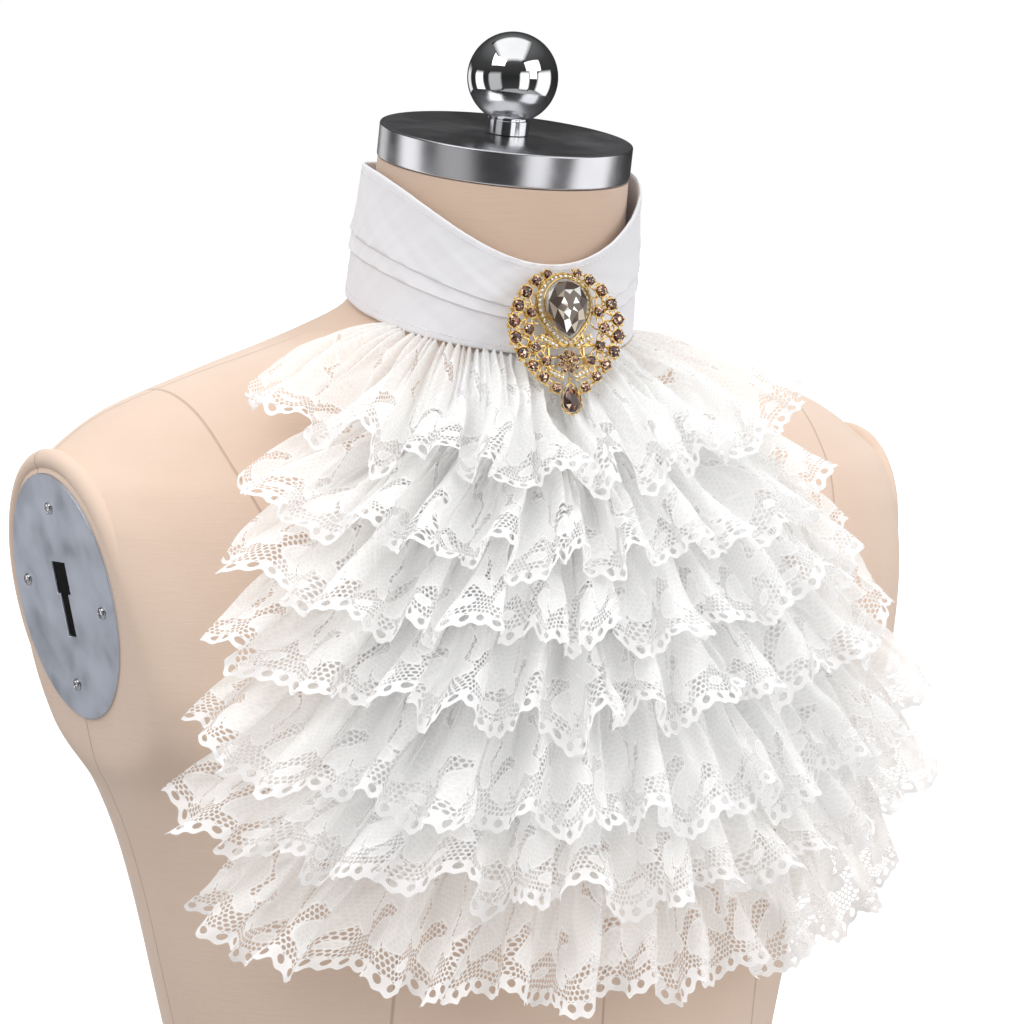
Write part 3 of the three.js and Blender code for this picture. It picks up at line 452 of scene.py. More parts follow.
def form_material():
    """Beige cover of the dress form, with its panel seams and painted shade on the neck."""
    material, tree, shader = new_material("form_cotton")
    position = object_position(tree)
    place = link_node(tree, "ShaderNodeSeparateXYZ", {"Vector": position})
    x, y, height = (Sum(tree, place.outputs[k]) * (1 / MM) for k in range(3))
    cloud = noise(tree, position, 9.0, 5.0)
    base = ramp(tree, cloud, [(0.3, srgb(215, 189, 170)), (0.7, srgb(223, 200, 182))])

    # Panel seams: centre front and back, one over each breast to the shoulder, and the sides.
    span = SEAM_TOP - SEAM_BEND
    rise = (height * (1 / span)).calc("ADD", -SEAM_BEND / span, clamp=True)
    rise = rise * rise * (3.0 - rise * 2.0)
    across = x.size()
    princess = (across - rise * (SEAM_WIDE - SEAM_NARROW) - SEAM_NARROW).size()
    side = (y - 9.0).size() + across.below(60.0, 5.0) * 40.0
    seam = princess.least(across).least(side)
    low = height.below(588.0, 8.0) * seam.below(0.55, 0.5)
    dark = link_node(tree, "ShaderNodeMix", {0: (low * 0.5).socket, 6: base}, data_type="RGBA")
    dark.inputs[7].default_value = (*srgb(160, 128, 106), 1)
    # Painted shade: the neck is mixed darker for the shadow under the steel cap.
    neck = height.above(588.0, 8.0) * 0.34
    neck_painted_shade = link_node(tree, "ShaderNodeMix", {0: neck.socket, 6: dark.outputs[2]}, data_type="RGBA")
    neck_painted_shade.inputs[7].default_value = (*srgb(180, 148, 120), 1)
    tree.links.new(neck_painted_shade.outputs[2], shader.inputs["Base Color"])
    fine = noise(tree, position, 900.0, 2.0, 0.6, (0.6, 0.6, 2.2))
    coarse = noise(tree, position, 240.0, 3.0, 0.6, (0.25, 0.25, 2.4))
    total = Sum(tree, fine) * 0.35 + Sum(tree, coarse) * 0.65 - low * 1.6
    bump(tree, shader, total.socket, 0.35, 0.0006)
    shader.inputs["Roughness"].default_value = 0.9
    shader.inputs["Sheen Weight"].default_value = 0.2
    return material


def metal_material(name, colour, roughness, grain=None, grain_strength=0.1, turned_finish=0.0):
    """Metal with slow smudges in its polish; grain is a brushed texture's stretch."""
    material, tree, shader = new_material(name)
    position = object_position(tree)
    smudge = noise(tree, position, 55.0, 4.0)
    darker = tuple(c * 0.86 for c in colour)
    tree.links.new(ramp(tree, smudge, [(0.3, darker), (0.7, colour)]), shader.inputs["Base Color"])
    level = link_node(tree, "ShaderNodeMapRange", {
        "Value": smudge, "From Min": 0.3, "From Max": 0.7,
        "To Min": roughness * 0.8, "To Max": roughness * 1.25,
    })
    tree.links.new(level.outputs[0], shader.inputs["Roughness"])
    if grain is not None:
        brushed = noise(tree, position, 1.0, 2.0, 0.6, grain)
        bump(tree, shader, brushed, grain_strength, 0.0002)
    shader.inputs["Metallic"].default_value = 1.0
    if turned_finish:
        shader.inputs["Anisotropic"].default_value = turned_finish
        round_z = link_node(tree, "ShaderNodeTangent", direction_type="RADIAL", axis="Z")
        tree.links.new(round_z.outputs[0], shader.inputs["Tangent"])
    return material


def stone_material(name, dark, middle, light, metallic=0.35):
    """Foiled glass: each facet has its own tone, a painted reflection of the light that the foil behind it
    sends back.
    """
    material, tree, shader = new_material(name)
    tone = link_node(tree, "ShaderNodeAttribute", attribute_name="tone").outputs["Fac"]
    colour = ramp(tree, tone, [(0.3, dark), (0.62, middle), (0.95, light)])
    tree.links.new(colour, shader.inputs["Base Color"])
    shader.inputs["Roughness"].default_value = 0.06
    shader.inputs["Metallic"].default_value = metallic
    shader.inputs["Coat Weight"].default_value = 0.5
    shader.inputs["Coat Roughness"].default_value = 0.02
    shader.inputs["Specular IOR Level"].default_value = 0.6
    return material


LACE = lace_material()
COLLAR_CLOTH = cotton_material("collar_cotton", srgb(226, 225, 228), srgb(223, 222, 226), 700.0, 0.05)
BIB_CLOTH = cotton_material("bib_cotton", srgb(236, 236, 240), srgb(228, 228, 233), 700.0, 0.2)
FORM_CLOTH = form_material()
STEEL = metal_material("brushed_steel", (0.66, 0.66, 0.69), 0.19, (30.0, 30.0, 2600.0), 0.06, 0.75)
CHROME = metal_material("chrome", (0.86, 0.87, 0.89), 0.035)
ZINC = metal_material("zinc_plate", (0.69, 0.73, 0.83), 0.42, (260.0, 260.0, 260.0), 0.06)
GOLD = metal_material("gold_metal", (1.0, 0.71, 0.27), 0.27)
# The brightest stop of each stone colours its painted glints and reflections.
BROWN = stone_material("brown_stone", srgb(52, 24, 14), srgb(158, 98, 62), srgb(255, 224, 196), 0.1)
SMOKY = stone_material("smoky_stone", srgb(92, 80, 72), srgb(188, 174, 156), srgb(255, 254, 250))
CLEAR = stone_material("clear_stone", srgb(120, 112, 88), srgb(214, 208, 186), srgb(255, 255, 252))
BUTTON_WHITE = cotton_material("collar_button", srgb(240, 240, 240), srgb(228, 228, 226), 90.0, 0.03, 0.0)
BUTTON_WHITE.node_tree.nodes["Principled BSDF"].inputs["Roughness"].default_value = 0.25
THREAD = cotton_material("thread", srgb(240, 240, 244), srgb(222, 222, 228), 1800.0, 0.4)
# Near-black finish for the painted shade inside the key slots.
SLOT_SHADE = metal_material("slot_painted_shade", (0.012, 0.012, 0.012), 0.6)


# ---- Dress form --------------------------------------------------------------
def plate_plane(z):
    """How far out the flat end of a shoulder lies at height z."""
    return PLATE["x"] + (z - PLATE["z"]) * math.tan(PLATE["tilt"])


def form_points(z, angle):
    """Points of the form's surface for arrays of section heights and angles from the front."""
    get = lambda column: along(FORM_SECTIONS, FORM_COLUMNS, column, z)
    power = 2 / get("power")
    round_off = lambda value: np.sign(value) * np.abs(value) ** power
    y = -round_off(np.cos(angle))
    depth = np.where(y < 0, get("front"), get("back"))
    x = get("halfWidth") * round_off(np.sin(angle))
    height = z + get("rise") * depth * y
    limit = plate_plane(height) + 0.05
    soft = 2.2
    past = np.abs(x) - limit
    near = limit - soft * np.log1p(np.exp(-np.clip(past / soft, -40, 40)))
    cut = (past > -12 * soft) & (height > PLATE["z"] - 2 * PLATE["half_height"])
    x = np.sign(x) * np.where(cut, near, np.abs(x))
    return np.stack([x, get("centre") + depth * y, height], -1)


def build_form():
    sides = 240
    z = np.unique(np.concatenate([np.arange(0, 400, 8.0), np.arange(400, NECK_TOP, 2.5), [NECK_TOP]]))
    even = np.linspace(0, 2 * np.pi, sides + 1)
    angle = even + 0.16 * np.sin(2 * even)
    grid = form_points(z[:, None], angle[None, :])
    points = grid.reshape(-1, 3)
    faces = grid_faces(len(z) - 1, sides)[:, ::-1].tolist()
    low, high = len(points), len(points) + 1
    points = np.vstack([points, [0, 0, 0], [0, grid[-1, :, 1].mean(), NECK_TOP]])
    last = (len(z) - 1) * (sides + 1)
    for i in range(sides):
        faces.append([low, i, i + 1][::-1])
        faces.append([high, last + i, last + i + 1])
    form = add_mesh("form_cover", points, faces, FORM_CLOTH, sharp_angle=60)
    fit(form, "form_cotton", "dress_form")


def side_word(side):
    return "right" if side < 0 else "left"


def plate_ellipse(side, grow, turns):
    """Places on an arm plate's outline, made larger by grow, in the plate's own plane."""
    lean = side * PLATE["lean"]
    across = (PLATE["half_depth"] + grow) * np.cos(turns)
    up = (PLATE["half_height"] + grow) * np.sin(turns)
    return np.stack([across * math.cos(lean) - up * math.sin(lean),
                     across * math.sin(lean) + up * math.cos(lean)], -1)


def build_arm_rim(side):
    """The padded edge of the cover round an arm plate."""
    word = side_word(side)
    turns = np.linspace(-0.5 * np.pi, 1.5 * np.pi, 97)  # its ends meet below, inside the form
    path = np.column_stack([plate_ellipse(side, RIM["reach"], turns), 0 * turns])
    points, faces = tube(path, RIM["radius"], 16)
    rim = add_mesh(f"form_rim_{word}", moved(points, plate_matrix(side, -RIM["sunk"])), faces, FORM_CLOTH)
    fit(rim, "form_cotton")


def cap_matrix():
    centre = float(along(FORM_SECTIONS, FORM_COLUMNS, "centre", NECK_TOP))
    c, s = math.cos(NECK_LEAN), math.sin(NECK_LEAN)
    return frame_matrix((1, 0, 0), (0, c, s), (0, -s, c), (0, centre, NECK_TOP))


def build_cap_and_knob():
    r, h = CAP["radius"], CAP["height"]
    profile = rounded([(0, SEAM_GAP), (r, SEAM_GAP), (r, h), (0, h)], 0.9)
    points, faces = lathe(profile, 180)
    cap = add_mesh("neck_cap_steel", moved(points, cap_matrix()), faces, STEEL, sharp_angle=40)
    base = h + SEAM_GAP
    centre = base + STUB["height"] + BALL["flat"]
    start = math.acos(BALL["flat"] / BALL["radius"])
    r, top = STUB["radius"], base + STUB["height"]
    profile = [(0, base), (r, base), (r, top - 1.2), (r - 0.5, top - 0.6), (r + 0.2, top)]
    for a in np.linspace(start, math.pi, 49):
        across = BALL["radius"] * math.sin(a) if a < math.pi else 0
        profile.append((across, centre - BALL["radius"] * math.cos(a)))
    points, faces = lathe(profile, 96)
    knob = add_mesh("knob_chrome", moved(points, cap_matrix()), faces, CHROME, sharp_angle=35)
    fit(cap, "brushed_steel", "neck_cap")
    fit(knob, "chrome", "knob")


def plate_matrix(side, distance):
    c, s = math.cos(PLATE["tilt"]), math.sin(PLATE["tilt"])
    out, up = np.array([side * c, 0, -s]), np.array([side * s, 0, c])
    across = np.cross(up, out)
    at = np.array([side * PLATE["x"], PLATE["y"], PLATE["z"]]) + out * distance
    return frame_matrix(across, up, out, at)


def filled_plate(outline, hole, thickness, bevel):
    """Points and faces of a flat plate with a hole and softly rounded edges."""
    curve = bpy.data.curves.new("plate_outline", "CURVE")
    curve.dimensions, curve.fill_mode = "2D", "BOTH"
    curve.extrude, curve.bevel_depth, curve.bevel_resolution = thickness / 2 - bevel, bevel, 2
    for ring in (outline, hole):
        spline = curve.splines.new("POLY")
        spline.points.add(len(ring) - 1)
        for point, (x, y) in zip(spline.points, ring):
            point.co = (x, y, 0, 1)
        spline.use_cyclic_u = True
    obj = bpy.data.objects.new("plate_outline", curve)
    bpy.context.scene.collection.objects.link(obj)
    mesh = bpy.data.meshes.new_from_object(obj)
    bpy.data.objects.remove(obj)
    bpy.data.curves.remove(curve)
    points = np.array([v.co[:] for v in mesh.vertices])
    faces = [list(p.vertices) for p in mesh.polygons]
    bpy.data.meshes.remove(mesh)
    return points, faces


def build_arm_plate(side):
    word = side_word(side)
    bevel = 0.3
    outline = plate_ellipse(side, -bevel, np.linspace(0, 2 * np.pi, 120, endpoint=False))
    w, n = KEYHOLE["wide"] / 2, KEYHOLE["narrow"] / 2
    top = KEYHOLE["top"]
    middle = top - KEYHOLE["wide_height"]
    foot = middle - KEYHOLE["narrow_height"]
    half = [(w, top), (w, middle), (n, middle), (n, foot)]
    hole = [(-w, top), *half, *[(-x, y) for x, y in half[:0:-1]]]
    points, faces = filled_plate(outline, hole, PLATE["thickness"], bevel)
    points[:, 2] += PLATE["thickness"] / 2
    matrix = plate_matrix(side, SEAM_GAP - PLATE["pocket"])
    plate = add_mesh(f"arm_plate_{word}_zinc", moved(points, matrix), faces, ZINC, sharp_angle=35)
    fit(plate, "zinc_plate", f"arm_plate_{word}")

    # A near-black sheet of painted shade inside the key slot, just above the cover's flat end.
    depth = PLATE["pocket"] - SEAM_GAP + 0.12
    well = np.array([(x, y, depth) for x, y in hole])
    floor = add_mesh(f"key_slot_{word}", moved(well, matrix), [list(range(len(hole)))], SLOT_SHADE)
    fit(floor, "zinc_plate")
    build_screws(side, word, matrix)


def build_screws(side, word, matrix):
    """Domed screw heads with a sunk cross."""
    screws = Pile()
    rings, sides = 14, 48
    for k, (px, py) in enumerate(SCREWS):
        at = np.array([side * px * PLATE["half_depth"], py * PLATE["half_height"],
                       PLATE["thickness"] + SEAM_GAP])
        r = SCREW["radius"] * np.linspace(1, 0.02, rings)[:, None]
        a = 2 * np.pi * np.arange(sides)[None, :] / sides
        x, y = r * np.cos(a), r * np.sin(a)
        dome = SCREW["head"] * np.clip(1 - (r / SCREW["radius"]) ** 4, 0, 1) ** 0.5 + 0 * a
        turn = 0.4 + 1.1 * k
        cx, cy = x * math.cos(turn) + y * math.sin(turn), y * math.cos(turn) - x * math.sin(turn)
        half, reach = 0.36, 1.6
        cross = (((np.abs(cx) < half) & (np.abs(cy) < reach))
                 | ((np.abs(cy) < half) & (np.abs(cx) < reach)))
        height = np.where(cross, dome - 0.75 * (1 - np.clip(r / 1.9, 0, 1) ** 3), dome)
        points = np.stack([x, y, height], -1).reshape(-1, 3)
        skirt = np.stack([r[0] * np.cos(a[0]), r[0] * np.sin(a[0]), np.full(sides, -0.25)], -1)
        points = np.vstack([skirt, points]) + at
        faces = [list(f[::-1]) for f in grid_faces(rings, sides, closed=True)]
        faces.append([rings * sides + i for i in range(sides)])
        faces.append(list(range(sides))[::-1])
        screws.add(points, faces)
    heads = screws.build(f"screws_{word}", STEEL, matrix=matrix, sharp_angle=30)
    fit(heads, "brushed_steel", *[f"screw_{word}_{i + 1}" for i in range(len(SCREWS))])


# ---- Collar ------------------------------------------------------------------
def collar_points(angle, height, out):
    """The collar's surface: angle from the front, height 0..1, out from its inner face."""
    c = COLLAR
    bottom = c["bottom_z"] - c["bottom_tilt"] * np.cos(angle)
    dip = ((1 + np.cos(angle - c["dip_angle"])) / 2) ** c["dip_power"]
    lift = bottom + height * (c["top_z"] - c["dip"] * dip - bottom)
    turn = angle / (np.pi + c["overlap"])
    step = c["overlap_step"] * np.sign(turn) * np.abs(turn) ** 8
    lean = (lift + c["bottom_tilt"] * np.cos(angle) - c["bottom_z"]) / (c["top_z"] - c["bottom_z"])
    radius = c["bottom_radius"] + (c["top_radius"] - c["bottom_radius"]) * lean + step + out
    centre = c["bottom_centre"] + (c["top_centre"] - c["bottom_centre"]) * lean
    return np.stack([radius * np.sin(angle), centre - radius * np.cos(angle), lift], -1)


def build_collar():
    reach = np.pi + COLLAR["overlap"]
    columns = 360
    angle = np.linspace(-reach, reach, columns + 1)[None, :]
    tuck_edges = [0.345, 0.35, 0.356, 0.362, 0.475, 0.48, 0.486, 0.492]
    h = np.unique(np.concatenate([np.linspace(0, 1, 46), tuck_edges]))[:, None]
    table = np.asarray(COLLAR_ROWS, float)
    tuck = np.interp(h, table[:, 0], table[:, 1])
    creases = (0.32 * waver(41, 3.0 * angle + 5.0 * h) * np.sin(np.pi * h)
               + 0.16 * waver(42, 9.0 * angle - 7.0 * h))
    outer = collar_points(angle, h, COLLAR["wall"] + tuck + creases)
    inner = collar_points(angle, h, 0.0 * tuck + creases * 0.5)
    lip = np.array([0.15, 0.55, 0.9])[:, None]
    over = collar_points(angle, 1 + 0.012 * np.sin(np.pi * lip), COLLAR["wall"] * (1 - lip) + creases[-1:])
    under = collar_points(angle, -0.012 * np.sin(np.pi * lip), COLLAR["wall"] * lip + creases[:1])
    ring = np.concatenate([outer, over, inner[::-1], under])
    rows = len(ring)
    points = ring.reshape(-1, 3)
    faces = grid_faces(rows - 1, columns).tolist()
    width = columns + 1
    faces += [[(rows - 1) * width + i, i, i + 1, (rows - 1) * width + i + 1] for i in range(columns)]
    faces += [[j * width for j in range(rows)], [j * width + columns for j in range(rows)][::-1]]
    collar = add_mesh("collar_band", points, faces, COLLAR_CLOTH, sharp_angle=50)
    fit(collar, "collar_cotton", "collar")


def stitches(path, out, length, gap, radius, pile):
    """Lays short stitches of thread along a path, half sunk in the cloth."""
    steps = np.linalg.norm(np.diff(path, axis=0), axis=1)
    place = np.concatenate([[0], np.cumsum(steps)])
    at = 0.0
    while at + length < place[-1]:
        s = np.linspace(at, at + length, 5)
        points = np.stack([np.interp(s, place, path[:, k]) for k in range(3)], -1)
        normal = np.stack([np.interp(s, place, out[:, k]) for k in range(3)], -1)
        rise = np.sin(np.linspace(0, np.pi, 5))[:, None]
        points = points + normal * (rise * radius * 1.1 - radius * 0.3)
        pile.add(*tube(points, radius * (0.55 + 0.45 * rise[:, 0]), 6))
        at += length + gap


def build_collar_stitches():
    pile = Pile()
    angle = np.linspace(-np.pi - 0.2, np.pi + 0.22, 500)
    for height in (0.055, 0.95):
        path = collar_points(angle, height, COLLAR["wall"] + 0.05)
        out = unit(path - collar_points(angle, height, 0.0))
        stitches(path, out, 1.9, 0.7, 0.16, pile)
    sewing = pile.build("collar_stitching", THREAD)
    fit(sewing, "collar_cotton")


def build_buttons():
    for i, height in enumerate(BUTTON["heights"]):
        angle = np.pi + COLLAR["overlap"] / 3
        at = lambda turn, up: collar_points(angle + turn, height + up, COLLAR["wall"] + BUTTON["lift"])
        across = unit(at(0.02, 0) - at(-0.02, 0))
        up = unit(at(0, 0.05) - at(0, -0.05))
        out = unit(np.cross(across, up))
        matrix = frame_matrix(np.cross(up, out), up, out, at(0, 0))
        r, t = BUTTON["radius"], BUTTON["thickness"]
        profile = rounded([(0, 0), (r - 0.5, 0), (r, 0.7), (r, t - 0.2), (r - 1.0, t),
                           (r - 1.7, t - 0.6), (0, t - 0.7)], 0.4)
        points, faces = lathe(profile, 64)
        button = add_mesh(f"button_{i + 1}", moved(points, matrix), faces, BUTTON_WHITE, sharp_angle=50)
        thread = Pile()
        for a in (0.78, 2.36):
            reach = 1.3 * np.array([math.cos(a), math.sin(a)])
            s = np.linspace(-1, 1, 9)[:, None]
            path = np.concatenate([s * reach, t - 0.65 + 0.45 * (1 - s**4)], 1)
            thread.add(*tube(path, 0.22, 6))
        sewn = thread.build(f"button_thread_{i + 1}", THREAD, matrix=matrix)
        fit(button, "collar_button", f"collar_button_{i + 1}")
        fit(sewn, "collar_button")


# ---- The lace's motifs -------------------------------------------------------
def wrap(value, half):
    return (value + half) % (2 * half) - half


def turned(x, y, turn):
    c, s = math.cos(turn), math.sin(turn)
    return x * c + y * s, y * c - x * s


def leaf(x, y, length, width, turn):
    """How far a point lies inside a pointed oval, in millimetres."""
    lx, ly = turned(x, y, turn)
    return (1 - np.hypot(lx / length, ly / width)) * width


def petal(x, y, length, width, turn):
    """A broad petal, wider at one end, with a dense crescent across it."""
    lx, ly = turned(x, y, turn)
    taper = np.clip(1 - 0.32 * lx / length, 0.4, 1.5)
    body = (1 - np.hypot(lx / length, ly / (width * taper))) * width
    bow = np.abs(np.hypot(lx + 0.75 * length, ly) - 0.95 * length) - 0.4
    return np.minimum(body, np.maximum(np.maximum(bow, np.abs(ly) - 0.42 * width), 0.3))


def blossom(x, y, radius, petals, turn=0.0):
    """A round flower with dense lines between its petals and a ring at its heart."""
    r = np.hypot(x, y)
    lobes = np.cos(petals * np.arctan2(y, x) + turn)
    body = 0.8 * radius - r + 0.2 * radius * lobes
    slit = np.maximum((0.97 - lobes) * r * 0.34, np.abs(r - 0.62 * radius) - 0.16 * radius)
    body = np.minimum(body, np.maximum(np.maximum(slit, 0.34 * radius - r), 0.3))
    return np.minimum(body, np.maximum(np.abs(r - 0.22 * radius) - 0.05 * radius, 0.3))


# Shape, place along and up the strip, length, width and turn; a blossom has radius and petals.
MOTIFS = [
    (petal, 3.0, 31.0, 17.0, 10.5, -2.2), (petal, -4.0, 47.0, 16.0, 9.0, 0.9),
    (petal, 25.0, 47.0, 15.0, 9.5, -1.3), (petal, 18.0, 66.0, 15.0, 9.0, 2.4),
    (blossom, 5.0, 68.0, 11.0, 6.0, 0.0), (leaf, 31.0, 21.0, 8.5, 3.6, 0.9),
    (leaf, 15.5, 24.0, 8.0, 3.4, 2.4), (leaf, 22.5, 31.0, 6.5, 2.8, 1.5),
    (leaf, 14.0, 57.0, 8.0, 3.4, 1.2), (leaf, -14.0, 57.0, 8.0, 3.4, 1.9),
    (blossom, -12.5, 15.5, 4.8, 5.0, 0.8), (leaf, 7.0, 13.5, 5.0, 2.0, 0.2),
    (leaf, -20.0, 34.0, 7.0, 3.0, 0.7), (leaf, -7.5, 81.0, 14.0, 8.0, 0.3),
    (leaf, 15.5, 84.0, 13.0, 8.0, -0.3),
]


def clothwork(u, w):
    """How far inside the nearest motif each point of the strip lies, with a corded outline."""
    best = np.full(np.broadcast(u, w).shape, -9.0)
    for shape, x, height, length, width, turn in MOTIFS:
        best = np.maximum(best, shape(wrap(u - x, LACE_REPEAT / 2), w - height, length, width, turn))
    vine = 0.55 - 0.6 * np.abs(w - 38 - 12 * np.cos(2 * np.pi * u / LACE_REPEAT + 0.8))
    upper = (w - 66) / 12 + 0.6 * np.sin(2 * np.pi * (2 * u + w) / LACE_REPEAT)
    return np.clip(np.maximum(np.maximum(best + 0.35, vine), upper), -3, 3)


# ---- Bib and ruffles ---------------------------------------------------------
def chest_y(x, z):
    return along(CHEST_LINE, CHEST_COLUMNS, "y", z) + along(CHEST_LINE, CHEST_COLUMNS, "bow", z) * x * x


def build_bib():
    columns, rows = 40, 60
    t = np.linspace(-1, 1, columns + 1)[None, :]
    angle = BIB["top_angle"] * t + BIB["turn"]
    radius = COLLAR["bottom_radius"] - 4 * SEAM_GAP - WALL / 2
    bottom = COLLAR["bottom_z"] - COLLAR["bottom_tilt"] * np.cos(angle)
    top = np.stack([radius * np.sin(angle), COLLAR["bottom_centre"] - radius * np.cos(angle),
                    bottom - SEAM_GAP], -1)
    z = np.linspace(BIB["below"], BIB["bottom_z"], rows)[:, None]
    x = along(BIB_WIDTHS, BIB_COLUMNS, "half", z) * t + BIB["shift"]
    body = np.stack([x, chest_y(x, z) + SEAM_GAP + WALL / 2, z + 0 * t], -1)
    grid = np.concatenate([top, body])
    bib = add_mesh("bib_panel", grid.reshape(-1, 3), grid_faces(rows, columns), BIB_CLOTH)
    solid = bib.modifiers.new("Thickness", "SOLIDIFY")
    solid.thickness, solid.offset = 0.9 * MM, 0
    fit(bib, "bib_cotton", "bib")


def valley_share(tier, t):
    return np.exp(-((t / VALLEY["width"]) ** 2)) if tier["seam_half"] == 0 else 0 * t


def seam_points(tier, t):
    if tier["seam_half"] == 0:
        angle = RUFFLE["collar_span"] * t + RUFFLE["turn"]
        r = RUFFLE["collar_radius"]
        z = COLLAR["bottom_z"] - COLLAR["bottom_tilt"] * np.cos(angle) - SEAM_GAP - 0.8 * WALL
        return np.stack([r * np.sin(angle), COLLAR["bottom_centre"] - r * np.cos(angle), z], -1)
    x = tier["seam_half"] * t + RUFFLE["seam_shift"] * tier["shift"]
    z = tier["seam_z"] + tier["seam_rise"] * t * t
    proud = WALL + 1.15 * RUFFLE["seam_swing"] * tier["swing"]
    return np.stack([x, chest_y(x, z) - proud, z], -1)


def hem_points(tier, t):
    x = tier["hem_half"] * t + tier["shift"]
    z = (tier["hem_z"] + tier["hem_rise"] * np.abs(t) ** 2.2
         + RUFFLE["hem_wave"] * waver(tier["seed"] + 20, 3 * t))
    stand = tier["stand"] * (1 - tier["end_stand"] * t * t)
    return np.stack([x, chest_y(x, z) - stand, z], -1)


def flat_points(tier, t, v):
    """The middle of a tier before it is fluted."""
    seam, hem = seam_points(tier, t), hem_points(tier, t)
    valley = valley_share(tier, t)
    point = seam + (hem - seam) * v[..., None]
    spread = np.maximum(v, 0) ** (1 - RUFFLE["end_spread"] * t**4)
    point[..., 0] = seam[..., 0] + (hem[..., 0] - seam[..., 0]) * spread
    ease = np.maximum(v, 0) ** (1 + VALLEY["depth"] * valley)
    point[..., 1] = seam[..., 1] + (hem[..., 1] - seam[..., 1]) * ease
    point[..., 1] -= tier["puff"] * np.sin(np.pi * np.minimum(v, 1)) * (1 - t * t) * (1 - valley)
    return point


def flute_phase(tier, t, v):
    return (np.pi * tier["flutes"] * (t + 1) + RUFFLE["wander"] * waver(tier["seed"], 2.6 * t)
            + RUFFLE["drift"] * v * waver(tier["seed"] + 10, 3.1 * t))


def ruffle_points(tier, t, v):
    """A ruffle's middle surface: t runs -1..1 along it, v from the seam (0) to the hem (1)."""
    small = 0.004
    seed = tier["seed"]
    corner = np.clip((np.abs(t) - RUFFLE["corner_from"]) / (1 - RUFFLE["corner_from"]), 0, 1)
    down = v * (1.03 - RUFFLE["corner"] * corner**2.2 + STRAY["fall"] * waver(seed + 90, 9 * t))
    middle = flat_points(tier, t, down)
    tangent = flat_points(tier, t + small, down) - flat_points(tier, t - small, down)
    turn = flute_phase(tier, t + small, down) - flute_phase(tier, t - small, down)
    wave = 2 * np.pi * np.linalg.norm(tangent, axis=-1) / turn
    tangent = unit(tangent)
    drop = unit(flat_points(tier, t, down + small) - flat_points(tier, t, down - small))
    out = unit(np.cross(drop, tangent))
    phase = flute_phase(tier, t, down) + STRAY["place"] * down * waver(seed + 11, 8 * t + 1.5 * down)
    grown = RUFFLE["seam_swing"] + (1 - RUFFLE["seam_swing"]) * np.maximum(down, 0) ** RUFFLE["growth"]
    uneven = 1 + STRAY["swing"] * waver(seed + 30, 9 * t)
    swing = tier["swing"] * grown * uneven * (1 - RUFFLE["end_swing"] * t * t)
    swing = swing * (1 - VALLEY["calm"] * (1 - down) * valley_share(tier, t))
    folded = RUFFLE["overhang"] * (1.12 + 0.5 * waver(seed + 31, 7 * t + 2))
    sway = folded * grown * wave / (4 * np.pi)
    fold = crumple(tier, t, down, phase)
    lump = STRAY["middle"] * waver(seed + 80, 6 * t + down) * np.sin(np.pi * np.clip(down, 0, 1))
    lean = STRAY["lean"] * wave * np.clip(down, 0, 1) ** 2 * waver(seed + 81, 6 * t)
    return (middle + out * (fold + lump - swing * np.cos(phase))[..., None]
            + tangent * (sway * np.sin(2 * phase) + lean)[..., None])


def crumple(tier, t, v, phase):
    """Folds that the solids leave out: tight gathers at the seam, which join into fewer below."""
    seed = tier["seed"]
    fall = np.clip(v, 0, 1)
    gathers = np.sin(5.0 * phase + 2.2 * waver(seed + 50, 14 * t)) * np.exp(-((v / 0.5) ** 2))
    pairs = np.sin(2.3 * phase + 2.6 * waver(seed + 51, 9 * t)) * np.exp(-(((v - 0.48) / 0.34) ** 2))
    creases = waver(seed + 60, 21 * t + 3.5 * v) * waver(seed + 61, 5 * v + 8 * t) * np.sin(np.pi * fall)
    curl = np.sin(1.9 * phase + 3 * waver(seed + 70, 6 * t)) * np.clip((v - 0.68) / 0.32, 0, 1.2) ** 2
    ripple = np.sin(4.6 * phase + 4 * waver(seed + 71, 11 * t)) * np.clip((v - 0.8) / 0.2, 0, 1.2) ** 2
    return (1.8 + 0.8 * v) * gathers + 2.6 * pairs + 1.6 * creases + 1.6 * curl + 0.5 * ripple


def build_ruffle(number, tier):
    columns = tier["flutes"] * COLUMNS_PER_FLUTE
    t, v = np.meshgrid(np.linspace(-1, 1, columns + 1), np.linspace(0, 1, RUFFLE_ROWS + 1))
    grid = ruffle_points(tier, t, v)
    steps = np.linalg.norm(np.diff(grid[-1], axis=0), axis=1)
    hem = steps.sum()
    falls = np.linalg.norm(np.diff(grid, axis=0), axis=2)
    up_from_hem = np.vstack([np.cumsum(falls[::-1], axis=0)[::-1], np.zeros(columns + 1)])
    even_fall = up_from_hem.mean(axis=1)[:, None] + 0 * t
    scallops = round(hem / LACE_REPEAT)
    strip = np.concatenate([[0], np.cumsum(steps)]) * scallops * LACE_REPEAT / hem + 11.0 * number
    strip = np.broadcast_to(strip, t.shape)
    scallop = SCALLOP_DEPTH * np.abs(wrap(strip, LACE_REPEAT / 2) / (LACE_REPEAT / 2)) ** 2.4
    height = even_fall - scallop * np.maximum(1 - even_fall / 60, 0)
    ruffle = add_mesh(f"lace_{number}", grid.reshape(-1, 3), grid_faces(RUFFLE_ROWS, columns), LACE,
                      uv=np.stack([strip, height], -1).reshape(-1, 2))
    inside = ruffle.data.attributes.new("clothwork", "FLOAT", "POINT")
    inside.data.foreach_set("value", clothwork(strip, height).ravel())
    fit(ruffle, "lace", f"ruffle_{number}")
    rests = "collar_band" if number == 1 else "bib_panel"


